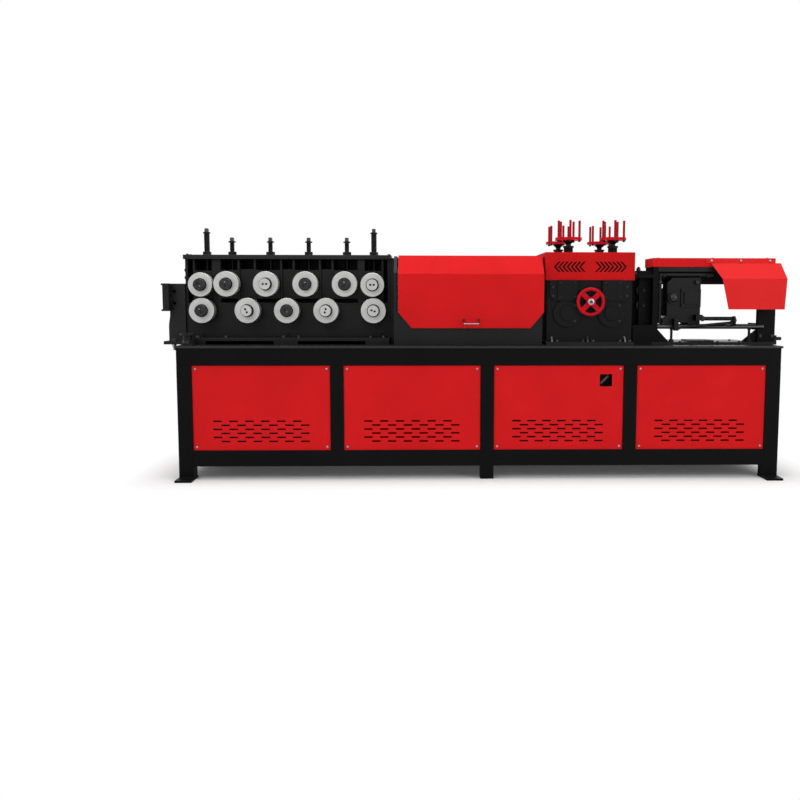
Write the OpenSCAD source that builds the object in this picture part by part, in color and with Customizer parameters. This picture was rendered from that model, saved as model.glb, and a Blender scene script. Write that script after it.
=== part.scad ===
// Rebar straightening and cutting machine.
// Millimetres, +Z up, bar runs along +X, the operator's side faces -Y.

/* [Base] */
// Length of the welded base
base_l = 2700; // [2640:10:2900]
// Depth of the welded base
base_d = 640; // [620:5:760]
// Height of the deck above the floor
base_h = 600; // [540:5:680]
// Clear height under the bottom rails
floor_gap = 60; // [40:5:100]
// Height of the bottom rails
bottom_rail_h = 72; // [50:1:90]
// Height of the top rails
top_rail_h = 77; // [60:1:100]
// Depth of the rails and posts
rail_d = 60; // [40:1:80]
// Width of the corner posts
corner_post_w = 66; // [50:1:80]
// Width of the posts between the bays
inner_post_w = 60; // [40:1:70]
// Width of the two bays on the inlet side
long_bay_w = 611; // [580:1:640]
// Thickness of the deck plate
deck_t = 10; // [6:1:14]
// Overhang of the deck plate all round
deck_lip = 6; // [0:1:15]
// Thickness of the foot plates
foot_t = 10; // [6:1:16]
// Reach of the foot plates beyond the posts
foot_reach = 66; // [45:1:90]
// Width of the foot plates
foot_w = 74; // [70:1:90]
// Diameter of the anchor holes
anchor_d = 14; // [8:1:20]

/* [Panels] */
// Sheet thickness of the panels
panel_t = 2; // [1.5:0.5:4]
// Depth of the folded edge of a panel
panel_fold = 22; // [12:1:30]
// How far a panel's face lies behind the posts
panel_inset = 5; // [2:0.5:10]
// Fit gap around a panel
panel_gap = 0.3; // [0.1:0.1:0.8]
// Vent slots in one row
slot_cols = 6; // [4:1:6]
// Rows of vent slots
slot_rows = 6; // [3:1:7]
// Length of a vent slot
slot_l = 38; // [24:1:42]
// Height of a vent slot
slot_h = 7; // [4:0.5:9]
// Distance from row to row
slot_rise = 18.2; // [14:0.2:22]
// Height of the lowest slot above the panel's lower edge
slot_low = 37; // [25:1:60]
// Shift of the slots towards the panel's left side
slot_side = 20; // [0:1:30]
// Slot pitch as a share of the panel's width
slot_pitch_share = 0.116; // [0.1:0.002:0.124]
// Side of the lever window in the third panel
window_w = 55; // [40:1:70]
// Distance of the lever window from the panel's side
window_in = 52; // [40:1:80]
// Distance of the lever window from the panel's top edge
window_down = 40; // [15:1:60]
// Depth of the lever box behind the window
recess_d = 40; // [20:1:60]
// Wall thickness of the lever box
recess_t = 2.5; // [1.5:0.5:4]
// Width of the lever's flat bar
lever_w = 9; // [6:0.5:12]
// Thickness of the lever's bar
lever_t = 6; // [4:0.5:8]
// Length of the lever's bar as a share of the window
lever_share = 0.9; // [0.6:0.05:1]

/* [Bar path] */
// Distance of the bar's line behind the base's front
pass_back = 190; // [180:1:210]
// Height of the bar's line above the deck
pass_up = 214; // [206:1:225]
// Radius of the way left free for the bar
path_r = 12; // [8:1:13]

/* [Straightening rollers] */
// Diameter of the straightening rollers
roller_d = 116; // [104:1:116]
// Diameter of the upper rollers of the two pinch pairs
pinch_d = 110; // [100:1:110]
// Width of the rollers
roller_w = 50; // [40:1:54]
// Depth of the groove in a roller's rim
groove_h = 6; // [3:0.5:8]
// Width of the groove at the rim
groove_w = 18; // [10:1:24]
// Bevel on the rim's edges
rim_bevel = 1.5; // [1:0.5:4]
// Gap between the upper and lower rims
rim_gap = 5.5; // [5:0.1:9]
// Pitch of the staggered rollers
roller_pitch = 180; // [178:1:190]
// First pinch pair to the first staggered roller
pair_to_stagger = 118; // [118:1:130]
// Last staggered roller to the last pinch pair
stagger_to_pair = 128; // [122:1:150]
// Shift of the lower rollers towards the outlet
low_shift = 4; // [0:1:8]
// Diameter of the roller shafts
shaft_d = 44; // [36:1:48]
// Diameter of the hub in front of a roller
hub_d = 53; // [48:1:62]
// Length of the hub
hub_l = 26; // [16:1:32]
// Diameter of the screw holes in the hub
hub_hole_d = 7; // [5:0.5:10]
// Depth of the screw holes in the hub
hub_hole_h = 7; // [3:0.5:12]
// Distance of the screw holes from the axis
hub_hole_r = 8; // [6:0.5:18]
// Gap between a roller and its bearing
roller_run = 7; // [5:0.5:10]
// Radial clearance of the running shafts
run_fit = 0.05; // [0.02:0.01:0.09]

/* [Straightener box] */
// First pinch pair behind the box's inlet end
pair_inset = 83; // [78:1:110]
// Box's outlet end beyond the last pinch pair
pair_outset = 79; // [78:1:110]
// Distance of the box from the base's inlet end
box_x = -11; // [-20:1:10]
// Thickness of the pads under the bed plate
pad_t = 15; // [10:1:20]
// Length of the two inner pads
pad_l = 110; // [60:5:160]
// Overhang of the first pad beyond the base
pad_out = 90; // [60:1:100]
// Depth of the rear rail under the bed plate
pad_rail = 30; // [20:1:40]
// Thickness of the bed plate
bed_t = 15; // [10:1:20]
// Bed plate in front of the box
bed_front = 102; // [60:1:110]
// Bed plate behind the box
bed_back = 14; // [0:1:40]
// Thickness of the front wall
wall_t = 20; // [12:1:24]
// Size of the small gussets at the wall's foot
wall_gusset = 20; // [12:1:30]
// Thickness of the small gussets
wall_gusset_t = 8; // [5:1:12]
// Thickness of the shelf over the front wall
shelf_t = 15; // [10:1:20]
// Shelf's top below the bar's line
shelf_down = 24; // [24:0.5:26]
// Top plate's underside above the bar's line
top_up = 176; // [172:1:215]
// Thickness of the top plate
top_t = 20; // [12:1:26]
// Overhang of the top plate at the front
top_lip = 17; // [0:1:20]
// Overhang of the top plate at the ends
top_end_lip = 5; // [0:1:12]
// Thickness of the end plates
end_t = 12; // [8:1:16]
// Thickness of the back plate
back_t = 10; // [6:1:14]
// Thickness of the ribs
rib_t = 10; // [6:1:14]
// Height of the plates that join the ribs
filler_h = 155; // [100:5:180]
// Thickness of the plates that join the ribs
filler_t = 8; // [5:1:12]
// Set-back of the plates that join the ribs
filler_in = 12; // [4:1:20]
// Thickness of the lower bearing flanges
cap_t = 10; // [6:1:14]
// Diameter of the lower bearing flanges
cap_d = 112; // [90:1:112]
// Diameter of the bearing spigots
spigot_d = 58; // [52:1:60]
// Fit gap of the bearing spigots
spigot_gap = 0.1; // [0.05:0.05:0.3]

/* [Adjusters] */
// Width of the pockets of the wide slide blocks
pocket_w = 112; // [100:1:120]
// Width of the pockets of the narrow slide blocks
pair_pocket_w = 78; // [70:1:86]
// Gap between a slide block and its guides
slide_gap = 0.5; // [0.3:0.1:0.8]
// Depth of the slide blocks
block_d = 160; // [130:1:180]
// Height of the slide blocks
block_h = 132; // [110:1:134]
// Set-back of the slide blocks behind the wall's face
block_in = 4; // [2:0.5:6]
// Diameter of the bearing boss on a block
boss_d = 92; // [70:1:96]
// Diameter of the staggered rollers' screws
screw_d = 20; // [14:0.5:24]
// Diameter of the pinch pairs' screws
pair_screw_d = 25; // [16:0.5:28]
// Fit gap of the screws in the top plate
screw_gap = 0.4; // [0.3:0.1:0.8]
// Staggered rollers' screws over the top plate
screw_h = 84; // [66:1:100]
// Pinch pairs' screws over the top plate
pair_screw_h = 126; // [90:1:140]
// Diameter of the screw's collar
collar_d = 34; // [24:1:40]
// Thickness of the screw's collar
collar_t = 6; // [3:0.5:10]
// Height of the screw's square head
head_h = 17; // [10:1:24]
// Width of the screw's square head
head_w = 17; // [10:1:20]

/* [Inlet] */
// Width of the inlet bracket's upper part
bracket_w = 72; // [60:1:95]
// Extra width of the bracket's foot
bracket_flare = 7; // [0:1:16]
// Height over the pad at which the bracket widens
bracket_knee = 62; // [30:1:90]
// Thickness of the inlet bracket
bracket_t = 20; // [14:1:24]
// Bracket's face in front of the box's front wall
bracket_front = 12; // [8:1:12]
// Diameter of the bracket's two holes
bracket_hole_d = 15; // [8:1:20]
// Depth of the bracket's two holes
bracket_hole_h = 8; // [4:1:12]
// Distance of the bracket's holes from the box
bracket_hole_in = 49; // [40:1:54]
// Distance of the bracket's holes from the bar's line
bracket_hole_up = 27; // [22:1:34]
// Length of the inlet guide
guide_l = 28; // [24:1:40]
// Depth of the inlet guide
guide_d = 65; // [50:1:72]
// Height of the inlet guide
guide_h = 126; // [100:1:140]
// Distance of the inlet guide from the box
guide_lap = 58; // [50:1:64]
// Lip at the guide's top and bottom
guide_lip = 6; // [3:0.5:9]
// Thickness of the guide's lips
guide_lip_t = 8; // [5:1:12]
// Widening of the guide's mouth
mouth_w = 12; // [6:1:16]
// Depth of the guide's mouth
mouth_l = 14; // [8:1:18]
// Diameter of the clamp jack's plates
jack_d = 64; // [50:1:70]
// Thickness of the clamp jack's plates
jack_t = 9; // [6:1:12]
// Diameter of the clamp jack's post
jack_post_d = 38; // [26:1:44]
// Height of the clamp jack
jack_h = 54; // [40:1:70]
// Jack's axis from the base's inlet end
jack_x = 38; // [36:1:60]
// Jack's axis behind the base's front
jack_y = 60; // [45:1:80]

/* [Drum housing] */
// Gap between the straightener box and the hood
hood_x = 42; // [36:1:60]
// Length of the hood
hood_l = 657; // [620:1:657]
// Depth of the hood
hood_d = 260; // [240:2:264]
// Height of the hood's top above the bar's line
hood_up = 191; // [180:1:205]
// Hood's lower edge below the bar's line
hood_down = 137; // [120:1:150]
// Bevel of the hood's upper front edge, depthwise
hood_bevel_y = 80; // [50:1:90]
// Bevel of the hood's upper front edge, height
hood_bevel_z = 85; // [50:1:90]
// Bevel of the hood's lower corners, lengthwise
hood_corner_x = 60; // [30:1:80]
// Bevel of the hood's lower corners, height
hood_corner_z = 72; // [40:1:85]
// Sheet thickness of the hood
hood_t = 3; // [2:0.5:5]
// Drop of the hood's rear edge
hood_tail = 42; // [30:1:60]
// Seat gap under the hood
seat_gap = 0.4; // [0.3:0.1:0.8]
// Thickness of the bearing plates in the housing
bulk_t = 20; // [12:1:26]
// Bearing plates inside the hood's ends
bulk_in = 6; // [2:0.5:10]
// Thickness of the housing's walls
skin_t = 6; // [4:0.5:10]
// Gap between the housing's front wall and the hood
skin_gap = 5.5; // [5:0.5:9]
// Height of the housing's front wall
skin_h = 160; // [120:1:180]
// Thickness of the housing's wall at the inlet end
end_wall_t = 14; // [8:1:16]
// Diameter of the hinge pins
pin_d = 12; // [8:0.5:14]
// Outside diameter of the hinge knuckles
knuckle_d = 20; // [18:0.5:24]
// Length of the hinge knuckle on the hood
knuckle_l = 50; // [30:1:70]
// Length of the fixed hinge ears
ear_l = 14; // [8:1:20]
// End gap between knuckle and ears
ear_gap = 0.5; // [0.3:0.1:1]
// Distance of the hinges from the hood's ends
hinge_in = 110; // [80:1:160]
// Distance of the handle's rod from the hood
handle_out = 34; // [26:1:44]
// Width of the handle
handle_w = 68; // [55:1:95]
// Diameter of the handle's rod
handle_d = 7; // [5:0.5:11]
// Diameter of the handle's feet
handle_foot_d = 11; // [9:1:18]
// Thickness of the handle's feet
handle_foot_t = 4; // [3:0.5:5]
// Handle's height above the hood's lower edge
handle_up = 38; // [25:1:60]
// Sag of the handle's rod
handle_sag = 19; // [0:1:26]

/* [Drum] */
// Radius of the drum's end rings
drum_r = 96; // [70:1:100]
// Thickness of the drum's end rings
drum_ring_t = 26; // [16:1:34]
// Diameter of the drum's hollow shaft
drum_shaft_d = 56; // [44:1:64]
// Gap between the drum and the bearing plates
drum_gap = 52; // [46:1:60]
// Diameter of the tie bars
tie_d = 22; // [14:1:26]
// Distance of the tie bars from the axis
tie_r = 76; // [60:1:80]
// Diameter of the pulley on the drum
pulley_d = 170; // [140:1:190]
// Width of the pulley
pulley_w = 38; // [30:1:42]
// Depth of the belt grooves
vee_h = 10; // [6:1:13]
// Diameter of the dies
die_d = 44; // [36:1:50]
// Length of the dies
die_l = 46; // [30:1:60]
// Diameter of the bearing housings
bearing_d = 110; // [90:1:120]
// Thickness of the bearing housings
bearing_t = 14; // [10:1:18]

/* [Gearbox] */
// Gap between the hood and the gearbox
gear_x = 19; // [17:1:40]
// Width of the gearbox
gear_w = 390; // [360:1:390]
// Depth of the gearbox
gear_d = 385; // [360:1:400]
// Gearbox's front behind the base's front
gear_back = 110; // [100:1:130]
// Thickness of the gearbox's foot flange
flange_t = 14; // [8:1:18]
// Foot flange beyond the gearbox at front and back
flange_y = 32; // [16:1:40]
// Foot flange beyond the gearbox at the sides
flange_x = 5; // [0:0.5:6]
// Size of the gussets on the foot flange
gear_gusset = 24; // [14:1:26]
// Thickness of the gussets on the foot flange
gear_gusset_t = 8; // [5:1:12]
// Feed guard's lower edge above the bar's line
guard_low = 80; // [60:1:100]
// Height of the feed guard
guard_h = 126; // [100:1:140]
// Feed guard beyond the gearbox at the sides
guard_x = 9; // [3:0.5:10]
// Feed guard beyond the gearbox at front and back
guard_y = 10; // [4:0.5:14]
// Sheet thickness of the feed guard
guard_t = 3; // [2:0.5:5]
// Chevrons in each group
chevron_n = 7; // [4:1:7]
// Pitch of the chevrons
chevron_pitch = 19; // [17:0.5:20]
// Width of a chevron's stroke
chevron_w = 9; // [5:0.5:9]
// Reach of a chevron's point
chevron_reach = 21; // [14:0.5:22]
// Height of a chevron
chevron_h = 46; // [30:1:60]
// Chevrons' middle below the guard's top
chevron_down = 66; // [50:1:80]
// Distance of each group of chevrons from the guard's middle
chevron_in = 22; // [16:1:30]
// Half the distance between the two shafts
shaft_half = 102; // [90:1:104]
// Width of an upper bearing plate
cover_w = 128; // [110:1:132]
// Half the distance between the upper bearing plates
cover_half = 120; // [116:1:126]
// Thickness of the bearing plates
cover_t = 10; // [6:1:12]
// Upper plates' lower edge below the bar's line
cover_down = 14; // [6:1:14]
// Bevel at an upper plate's outer lower corner
cover_bevel = 24; // [12:1:34]
// Width of the slide plate on an upper plate
slide_w = 92; // [60:1:96]
// Thickness of the slide plate
slide_t = 6; // [3:0.5:9]
// Diameter of the lower round covers
round_d = 126; // [90:1:128]
// Round covers' axis below the bar's line
round_down = 70; // [73:1:84]
// Diameter of the raised middle of a round cover
round_mid_d = 66; // [40:1:76]

/* [Handwheel] */
// Diameter of the handwheel
wheel_d = 130; // [100:1:140]
// Thickness of the wheel's rim
wheel_rim = 15; // [9:0.5:16]
// Distance of the wheel from the gearbox
wheel_out = 34; // [30:1:50]
// Wheel's axis below the bar's line
wheel_down = 18; // [10:1:26]
// Diameter of the wheel's hub
wheel_hub_d = 40; // [34:1:50]
// Depth of the wheel's hub
wheel_hub_l = 22; // [16:1:28]
// Spokes of the wheel
spokes = 4; // [3:1:6]
// Width of a spoke
spoke_w = 22; // [12:1:26]
// Thickness of a spoke
spoke_t = 7; // [4:0.5:10]
// Diameter of the wheel's shaft
wheel_shaft_d = 20; // [14:1:26]
// Diameter of the bush around the wheel's shaft
bush_d = 46; // [34:1:54]
// Length of the bush around the wheel's shaft
bush_l = 18; // [10:1:20]

/* [Pressing screws] */
// Front pressing screws behind the gearbox's front
press_front = 45; // [40:1:80]
// Front to rear pressing screws
press_gap = 310; // [200:1:312]
// Shift of the pressing screws towards the outlet
press_side = 9; // [0:1:12]
// Height of the star discs above the feed guard
star_up = 55; // [40:1:60]
// Diameter of the star discs
star_d = 122; // [90:1:130]
// Thickness of the star discs
star_t = 13; // [8:1:18]
// Pins on a star disc
star_pins = 5; // [3:1:6]
// Diameter of the pins
star_pin_d = 11; // [6:0.5:13]
// Height of the pins above the disc
star_pin_h = 76; // [50:1:95]
// Distance of the pins from the axis
star_pin_r = 50; // [38:1:54]
// How far the pins' ends show under the disc
star_pin_low = 7; // [3:0.5:9]
// Turn of the rear discs in degrees
star_turn = 20; // [0:1:36]
// Diameter of the spindles
spindle_d = 24; // [16:1:28]
// Diameter of the screw bosses
press_d = 42; // [34:1:48]
// Height of the screw bosses above the feed guard
press_h = 23; // [10:1:26]
// Diameter of the swell under the disc
swell_d = 60; // [30:1:64]
// Height of the swell under the disc
swell_h = 16; // [8:1:18]

/* [Measuring unit] */
// Length of the pedestal next to the gearbox
ped_l = 88; // [70:1:110]
// Height of the pedestal
ped_h = 90; // [70:1:100]
// Thickness of the measuring unit's back plate
meas_t = 12; // [8:1:16]
// Diameter of the measuring wheels
meas_d = 60; // [50:1:62]
// Distance of the wheels' axes from the left post
meas_in = 32; // [32:1:40]
// Thickness of the measuring wheels
meas_w = 26; // [16:1:34]
// Thickness of the cheek plate
cheek_t = 12; // [8:1:16]
// Length of the cheek plate
cheek_l = 53; // [40:1:60]
// Gap between the measuring wheels
meas_gap = 10; // [8:0.5:14]
// Upper clamp above the bar's line
clamp_up = 92; // [88:1:100]
// Thickness of one clamp plate
clamp_t = 16; // [10:1:20]

/* [Cutter] */
// Depth of the cutter frame
cut_d = 144; // [130:1:150]
// Left post's thickness
left_post_t = 25; // [18:1:30]
// Gap between the feed guard and the pedestal
left_post_x = 1; // [1:0.5:20]
// Right post's width
right_post_w = 81; // [60:1:90]
// Depth of the right post's lower plate
right_post_t = 24; // [20:1:30]
// Clear length between the posts
cut_l = 470; // [450:1:480]
// Posts' tops above the bar's line
post_up = 178; // [170:1:190]
// Length of the left post's gusset
gusset_l = 55; // [40:1:56]
// Length of the right post's gusset
gusset_r = 70; // [50:1:80]
// Height of the gussets
gusset_h = 58; // [30:1:59]
// Thickness of the gussets
gusset_t = 12; // [8:1:16]
// Thickness of the cutter's bed plate
cut_bed_t = 12; // [8:1:16]
// Bed plate's end beyond the right post
cut_bed_out = 4; // [2:1:9]
// Thickness of the end stop
stop_t = 10; // [10:1:14]
// Height of the end stop
stop_h = 30; // [20:1:40]
// Diameter of the end stop's rod
stop_rod_d = 10; // [6:1:14]
// Length of the end stop's rod
stop_rod_l = 26; // [16:1:40]
// Length of the raised strip on the bed plate
hump_l = 115; // [80:1:130]
// Distance of the raised strip from the left post
hump_x = 150; // [130:1:180]
// Height of the raised strip
hump_h = 8; // [4:1:12]
// Height of the rear guide beam
beam_h = 76; // [50:1:80]
// Depth of the rear guide beam
beam_d = 40; // [30:1:44]
// Gap between the head and the rear guide beam
beam_gap = 10; // [6:0.5:14]
// Rear beam's upper edge above the bar's line
beam_up = 140; // [134:1:150]
// Height of the front beam under the cover
front_beam_h = 58; // [40:1:58]
// Depth of the front beam under the cover
front_beam_d = 12; // [8:1:14]
// Diameter of the guide rods
rod_d = 20; // [18:1:26]
// Lower rods' axis below the bar's line
rod_down = 132; // [124:1:134]
// Front rod's end beyond the right post's edge
rod_tail = 26; // [16:1:40]
// Height of the rear rod's cross bar
cross_h = 30; // [26:1:40]
// Length of the rear rod's cross bar
cross_l = 24; // [16:1:40]
// Rods' distance from the bar's line, depthwise
rod_half = 56; // [48:1:58]
// Upper pipe's axis above the bar's line
tie_rod_up = 107; // [105:1:108]
// Diameter of the upper pipe
tie_rod_d = 16; // [12:1:18]
// Length of the upper pipe
tie_rod_l = 241; // [200:1:260]
// Pipe's upright leg from the left post
leg_in = 11; // [10:0.5:12]
// Leg's lower end above the lower rod
leg_gap = 8; // [5:1:20]
// Height of the clip that holds the leg
clip_h = 20; // [12:1:30]
// Diameter of the struts
strut_d = 12; // [8:1:16]
// Diameter of the struts' feet and heads
strut_foot_d = 22; // [18:1:26]
// Height of the struts' feet and heads
strut_foot_h = 12; // [8:1:16]
// Left strut's distance from the left post
strut_in = 69; // [68:1:90]
// Right strut's distance from the right post
strut_out = 39; // [30:1:60]

/* [Cutter head] */
// Length of the cutter head
head_l = 154; // [130:1:160]
// Depth of the cutter head
cut_head_d = 124; // [100:1:126]
// Head's upper edge above the bar's line
head_up = 92; // [80:1:92]
// Distance of the head from the left post
head_in = 44; // [30:1:60]
// Gap between the head and its rods
head_gap = 0.4; // [0.3:0.1:0.8]
// Height of the head's shoe
shoe_h = 40; // [28:1:48]
// Shoe's rounded nose beyond the head
shoe_x = 20; // [14:1:20]
// Length of the slot under the head
head_slot_l = 48; // [30:1:60]
// Height of the slot under the head
head_slot_h = 9; // [5:0.5:12]
// Distance of the slot from the head's nose side
head_slot_in = 50; // [46:1:70]
// Width of the head's front cover
lid_w = 92; // [60:1:100]
// Height of the head's front cover
lid_h = 84; // [50:1:96]
// Thickness of the head's front cover
lid_t = 7; // [4:0.5:9]
// Step between the two layers of the front cover
lid_step = 14; // [8:1:20]
// Diameter of the knob on the head
knob_d = 22; // [14:1:26]
// Height of the knob on the head
knob_h = 10; // [6:1:12]
// Knob's distance from the head's corner
knob_in = 20; // [14:1:30]
// Diameter of the boss on the head
head_boss_d = 54; // [40:1:70]
// Height of the boss on the head
head_boss_h = 11; // [6:0.5:12]
// Bevel of the head's upper edges
head_bevel = 22; // [10:1:30]
// Diameter of the return cylinder
cyl_d = 18; // [14:1:22]
// Length of the return cylinder
cyl_l = 154; // [100:1:160]
// Diameter of the cylinder's end flange
cyl_flange_d = 42; // [38:1:46]
// Thickness of the cylinder's end flange
cyl_flange_t = 10; // [6:1:14]
// Cylinder's axis below the bar's line
cyl_down = 94; // [92:1:98]
// Cylinder's axis in front of the bar's line
cyl_front = 86; // [84:1:92]
// Length of the cylinder's lug
lug_l = 30; // [20:1:40]
// Length of the feed pipe's lug
pipe_lug_l = 20; // [14:1:26]
// Feed pipe's lug from the head's nose side
pipe_lug_in = 26; // [20:1:40]
// Drop of the feed pipe towards its lug
pipe_drop = 24; // [0:1:26]
// Diameter of the feed pipe
pipe_d = 13; // [8:0.5:16]
// Length of the fixed knife block on the left post
knife_l = 28; // [16:1:34]
// Width of the fixed knife block
knife_w = 84; // [60:1:90]
// Height of the fixed knife block
knife_h = 90; // [60:1:120]

/* [Cutter covers] */
// Sheet thickness of the covers
cap_sheet = 3; // [2:0.5:5]
// Height of the cutter cover
cap_h = 40; // [30:1:60]
// Cutter cover before the left post's outer face
cap_over = 3.4; // [3:0.2:6]
// Length of the cutter cover
cap_l = 563; // [540:1:566]
// Reach of the outlet guard in front of the cutter cover
guard_reach = 84; // [60:1:95]
// Height of the outlet guard's mounting strip
strip_h = 21; // [14:1:26]
// Height of the outlet guard's sloped part
slope_h = 73; // [40:1:80]
// Height of the outlet guard's upright part
drop_h = 137; // [100:1:160]
// Length of the outlet guard's mounting strip
strip_l = 320; // [300:1:330]
// Length of the outlet guard over its slope
slope_l = 322; // [300:1:330]
// Length of the outlet guard at its fold
fold_l = 294; // [260:1:300]
// Length of the outlet guard at its lower edge
low_l = 263; // [220:1:290]
// Taper of the outlet guard's outer edge
low_taper = 8; // [0:1:16]
// Outlet guard's end beyond the cutter cover
guard_out = 24; // [10:1:40]

/* [Hidden] */
$fn = 64;
eps = 0.01;
over = 1;
half = 1 / 2;
wall_gusset_shares = [0.08, 0.5, 0.96];
gear_gusset_shares = [0.06, 0.48, 0.92];

x_in = -base_l * half;
x_out = base_l * half;
y_front = -base_d * half;
y_back = base_d * half;
deck_z = base_h;
pass_y = y_front + pass_back;
pass_z = deck_z + pass_up;

beam_top = base_h - deck_t;
bay_z0 = floor_gap + bottom_rail_h;
bay_z1 = beam_top - top_rail_h;
bay_h = bay_z1 - bay_z0;
short_bay_w = (base_l - 2 * corner_post_w - 3 * inner_post_w - 2 * long_bay_w) * half;
bay_w = [long_bay_w, long_bay_w, short_bay_w, short_bay_w];
bay_x = [
  x_in + corner_post_w,
  x_in + corner_post_w + long_bay_w + inner_post_w,
  x_in + corner_post_w + 2 * (long_bay_w + inner_post_w),
  x_in + corner_post_w + 2 * (long_bay_w + inner_post_w) + short_bay_w + inner_post_w,
];
end_bay_d = base_d - 2 * rail_d;
post_x = [for (i = [0:2]) bay_x[i] + bay_w[i]];

box_x0 = x_in + box_x;
pair_x0 = box_x0 + pair_inset;
stagger_x = [for (i = [0:3]) pair_x0 + pair_to_stagger + i * roller_pitch];
pair_x1 = stagger_x[3] + stagger_to_pair;
box_x1 = pair_x1 + pair_outset;
low_x = concat([pair_x0 + low_shift], [for (i = [0:2]) stagger_x[i] + roller_pitch * half + low_shift],
  [pair_x1 + low_shift]);
up_x = concat([pair_x0], stagger_x, [pair_x1]);
pockets = [pair_pocket_w, pair_pocket_w, pocket_w, pocket_w, pocket_w, pair_pocket_w];
screws = [pair_screw_d, screw_d, screw_d, screw_d, screw_d, pair_screw_d];
low_z = pass_z - (rim_gap + roller_d) * half;
up_z = pass_z + (rim_gap + roller_d) * half;
pair_z = pass_z + (rim_gap + pinch_d) * half;
roll_y1 = pass_y + roller_w * half;
cap_y = roll_y1 + roller_run;
wall_y = cap_y + cap_t;
// Turn of each roller in degrees
up_turn = [55, 90, 0, 120, 95, 0];
low_turn = [60, 63, 45, 105, 18];
shaft_in = cap_t + wall_t;
block_y = wall_y + block_in;
box_y1 = block_y + block_d + block_in;
bed_z = deck_z + pad_t;
bed_top = bed_z + bed_t;
bed_y0 = wall_y - bed_front;
bed_y1 = box_y1 + back_t + bed_back;
shelf_z = pass_z - shelf_down;
top_z = pass_z + top_up;
screw_y = block_y + block_d * half;

guide_x1 = box_x0 - guide_lap;
guide_x0 = guide_x1 - guide_l;

hood_x0 = box_x1 + hood_x;
hood_x1 = hood_x0 + hood_l;
hood_y0 = pass_y - hood_d * half;
hood_y1 = pass_y + hood_d * half;
hood_z1 = pass_z + hood_up;
hood_z0 = pass_z - hood_down;
bevel_a = atan2(hood_bevel_z, hood_bevel_y);
bulk_x0 = hood_x0 + bulk_in;
bulk_x1 = hood_x1 - bulk_in - bulk_t;
pin_y = hood_y1 + knuckle_d * half;
pin_z = hood_z1 - hood_tail;
rear_y = hood_y1 - skin_gap - skin_t;
drum_x0 = bulk_x0 + bulk_t + drum_gap;
drum_x1 = bulk_x1 - drum_gap;
drum_l = drum_x1 - drum_x0;

gear_x0 = hood_x1 + gear_x;
gear_x1 = gear_x0 + gear_w;
gear_mid = (gear_x0 + gear_x1) * half;
gear_y0 = y_front + gear_back;
gear_y1 = gear_y0 + gear_d;
guard_z0 = pass_z + guard_low;
guard_z1 = guard_z0 + guard_h;
gear_top = guard_z1 - guard_t - seat_gap;
wheel_z = pass_z - wheel_down;
chevron_x = chevron_in + (chevron_n - 1) * chevron_pitch + chevron_reach + chevron_w;
press_mid = gear_mid + press_side;
press_z = gear_top + press_h * half * half;
press_y = [gear_y0 + press_front, gear_y0 + press_front + press_gap];

cut_y0 = pass_y - cut_d * half;
cut_y1 = pass_y + cut_d * half;
ped_x0 = gear_x1 + guard_x + left_post_x;
left_x0 = ped_x0 + ped_l;
left_x1 = left_x0 + left_post_t;
right_x0 = left_x1 + cut_l;
right_x1 = right_x0 + right_post_w;
cut_bed_x1 = right_x1 + cut_bed_out;
stop_x1 = right_x1 + stop_t + stop_rod_l;
post_top = pass_z + post_up;
rod_z = pass_z - rod_down;
rod_y = pass_y - rod_half;
head_x0 = left_x1 + head_in;
head_x1 = head_x0 + head_l;
head_z0 = rod_z + rod_d * half + head_gap;
cap_z1 = post_top + seat_gap + cap_sheet;
cap_y0 = cut_y0 - cap_sheet - seat_gap;
cap_y1 = cut_y1 + cap_sheet + seat_gap;
cap_x0 = left_x0 - cap_over;
cap_x1 = cap_x0 + cap_l;
og_x1 = cap_x1 + guard_out;
cyl_y = pass_y - cyl_front;
cyl_z = pass_z - cyl_down;
pipe_z = cyl_z - cyl_d;
og_z1 = cap_z1 - cap_sheet * half;
og_zs = og_z1 - strip_h;
og_zf = og_zs - slope_h;
og_z0 = og_zf - drop_h;

end_x0 = min(guide_x0 - guide_lip, x_in - pad_out);
end_x1 = max(stop_x1, og_x1);
mid_x = (end_x0 + end_x1) * half;

red = [0.75, 0.1, 0.12];
black = [0.13, 0.13, 0.14];
steel = [0.78, 0.79, 0.8];
chrome = [0.9, 0.9, 0.92];

// A box from corner to corner
module block(a, b) {
  translate(a)
    cube(b - a);
}

// A round bar along +Y from a point
module bar_y(at, d, l) {
  translate(at)
    rotate([-90, 0, 0])
      cylinder(d = d, h = l);
}

// A round bar along +X from a point
module bar_x(at, d, l) {
  translate(at)
    rotate([0, 90, 0])
      cylinder(d = d, h = l);
}

// A flat outline given as X and Z, raised along +Y from y
module plate_y(y, t) {
  translate([0, y + t, 0])
    rotate([90, 0, 0])
      linear_extrude(t)
        children();
}

// A flat outline given as Y and Z, raised along +X from x
module plate_x(x, t) {
  translate([x, 0, 0])
    rotate([90, 0, 90])
      linear_extrude(t)
        children();
}

// The way left free for the bar between two places
module bar_path(x0, x1) {
  bar_x([x0 - over, pass_y, pass_z], 2 * path_r, x1 - x0 + 2 * over);
}

// Brings the whole machine over the middle of its own outline
module placed() {
  translate([-mid_x, 0, 0])
    children();
}

// Five pairs of posts; the corner and middle ones run down to the floor
module base_posts() {
  color(black)
    for (y = [y_front, y_back - rail_d]) {
      block([x_in, y, foot_t], [x_in + corner_post_w, y + rail_d, bay_z1]);
      block([x_out - corner_post_w, y, foot_t], [x_out, y + rail_d, bay_z1]);
      block([post_x[1], y, 0], [post_x[1] + inner_post_w, y + rail_d, bay_z1]);
      for (x = [post_x[0], post_x[2]])
        block([x, y, bay_z0], [x + inner_post_w, y + rail_d, bay_z1]);
    }
}

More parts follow.
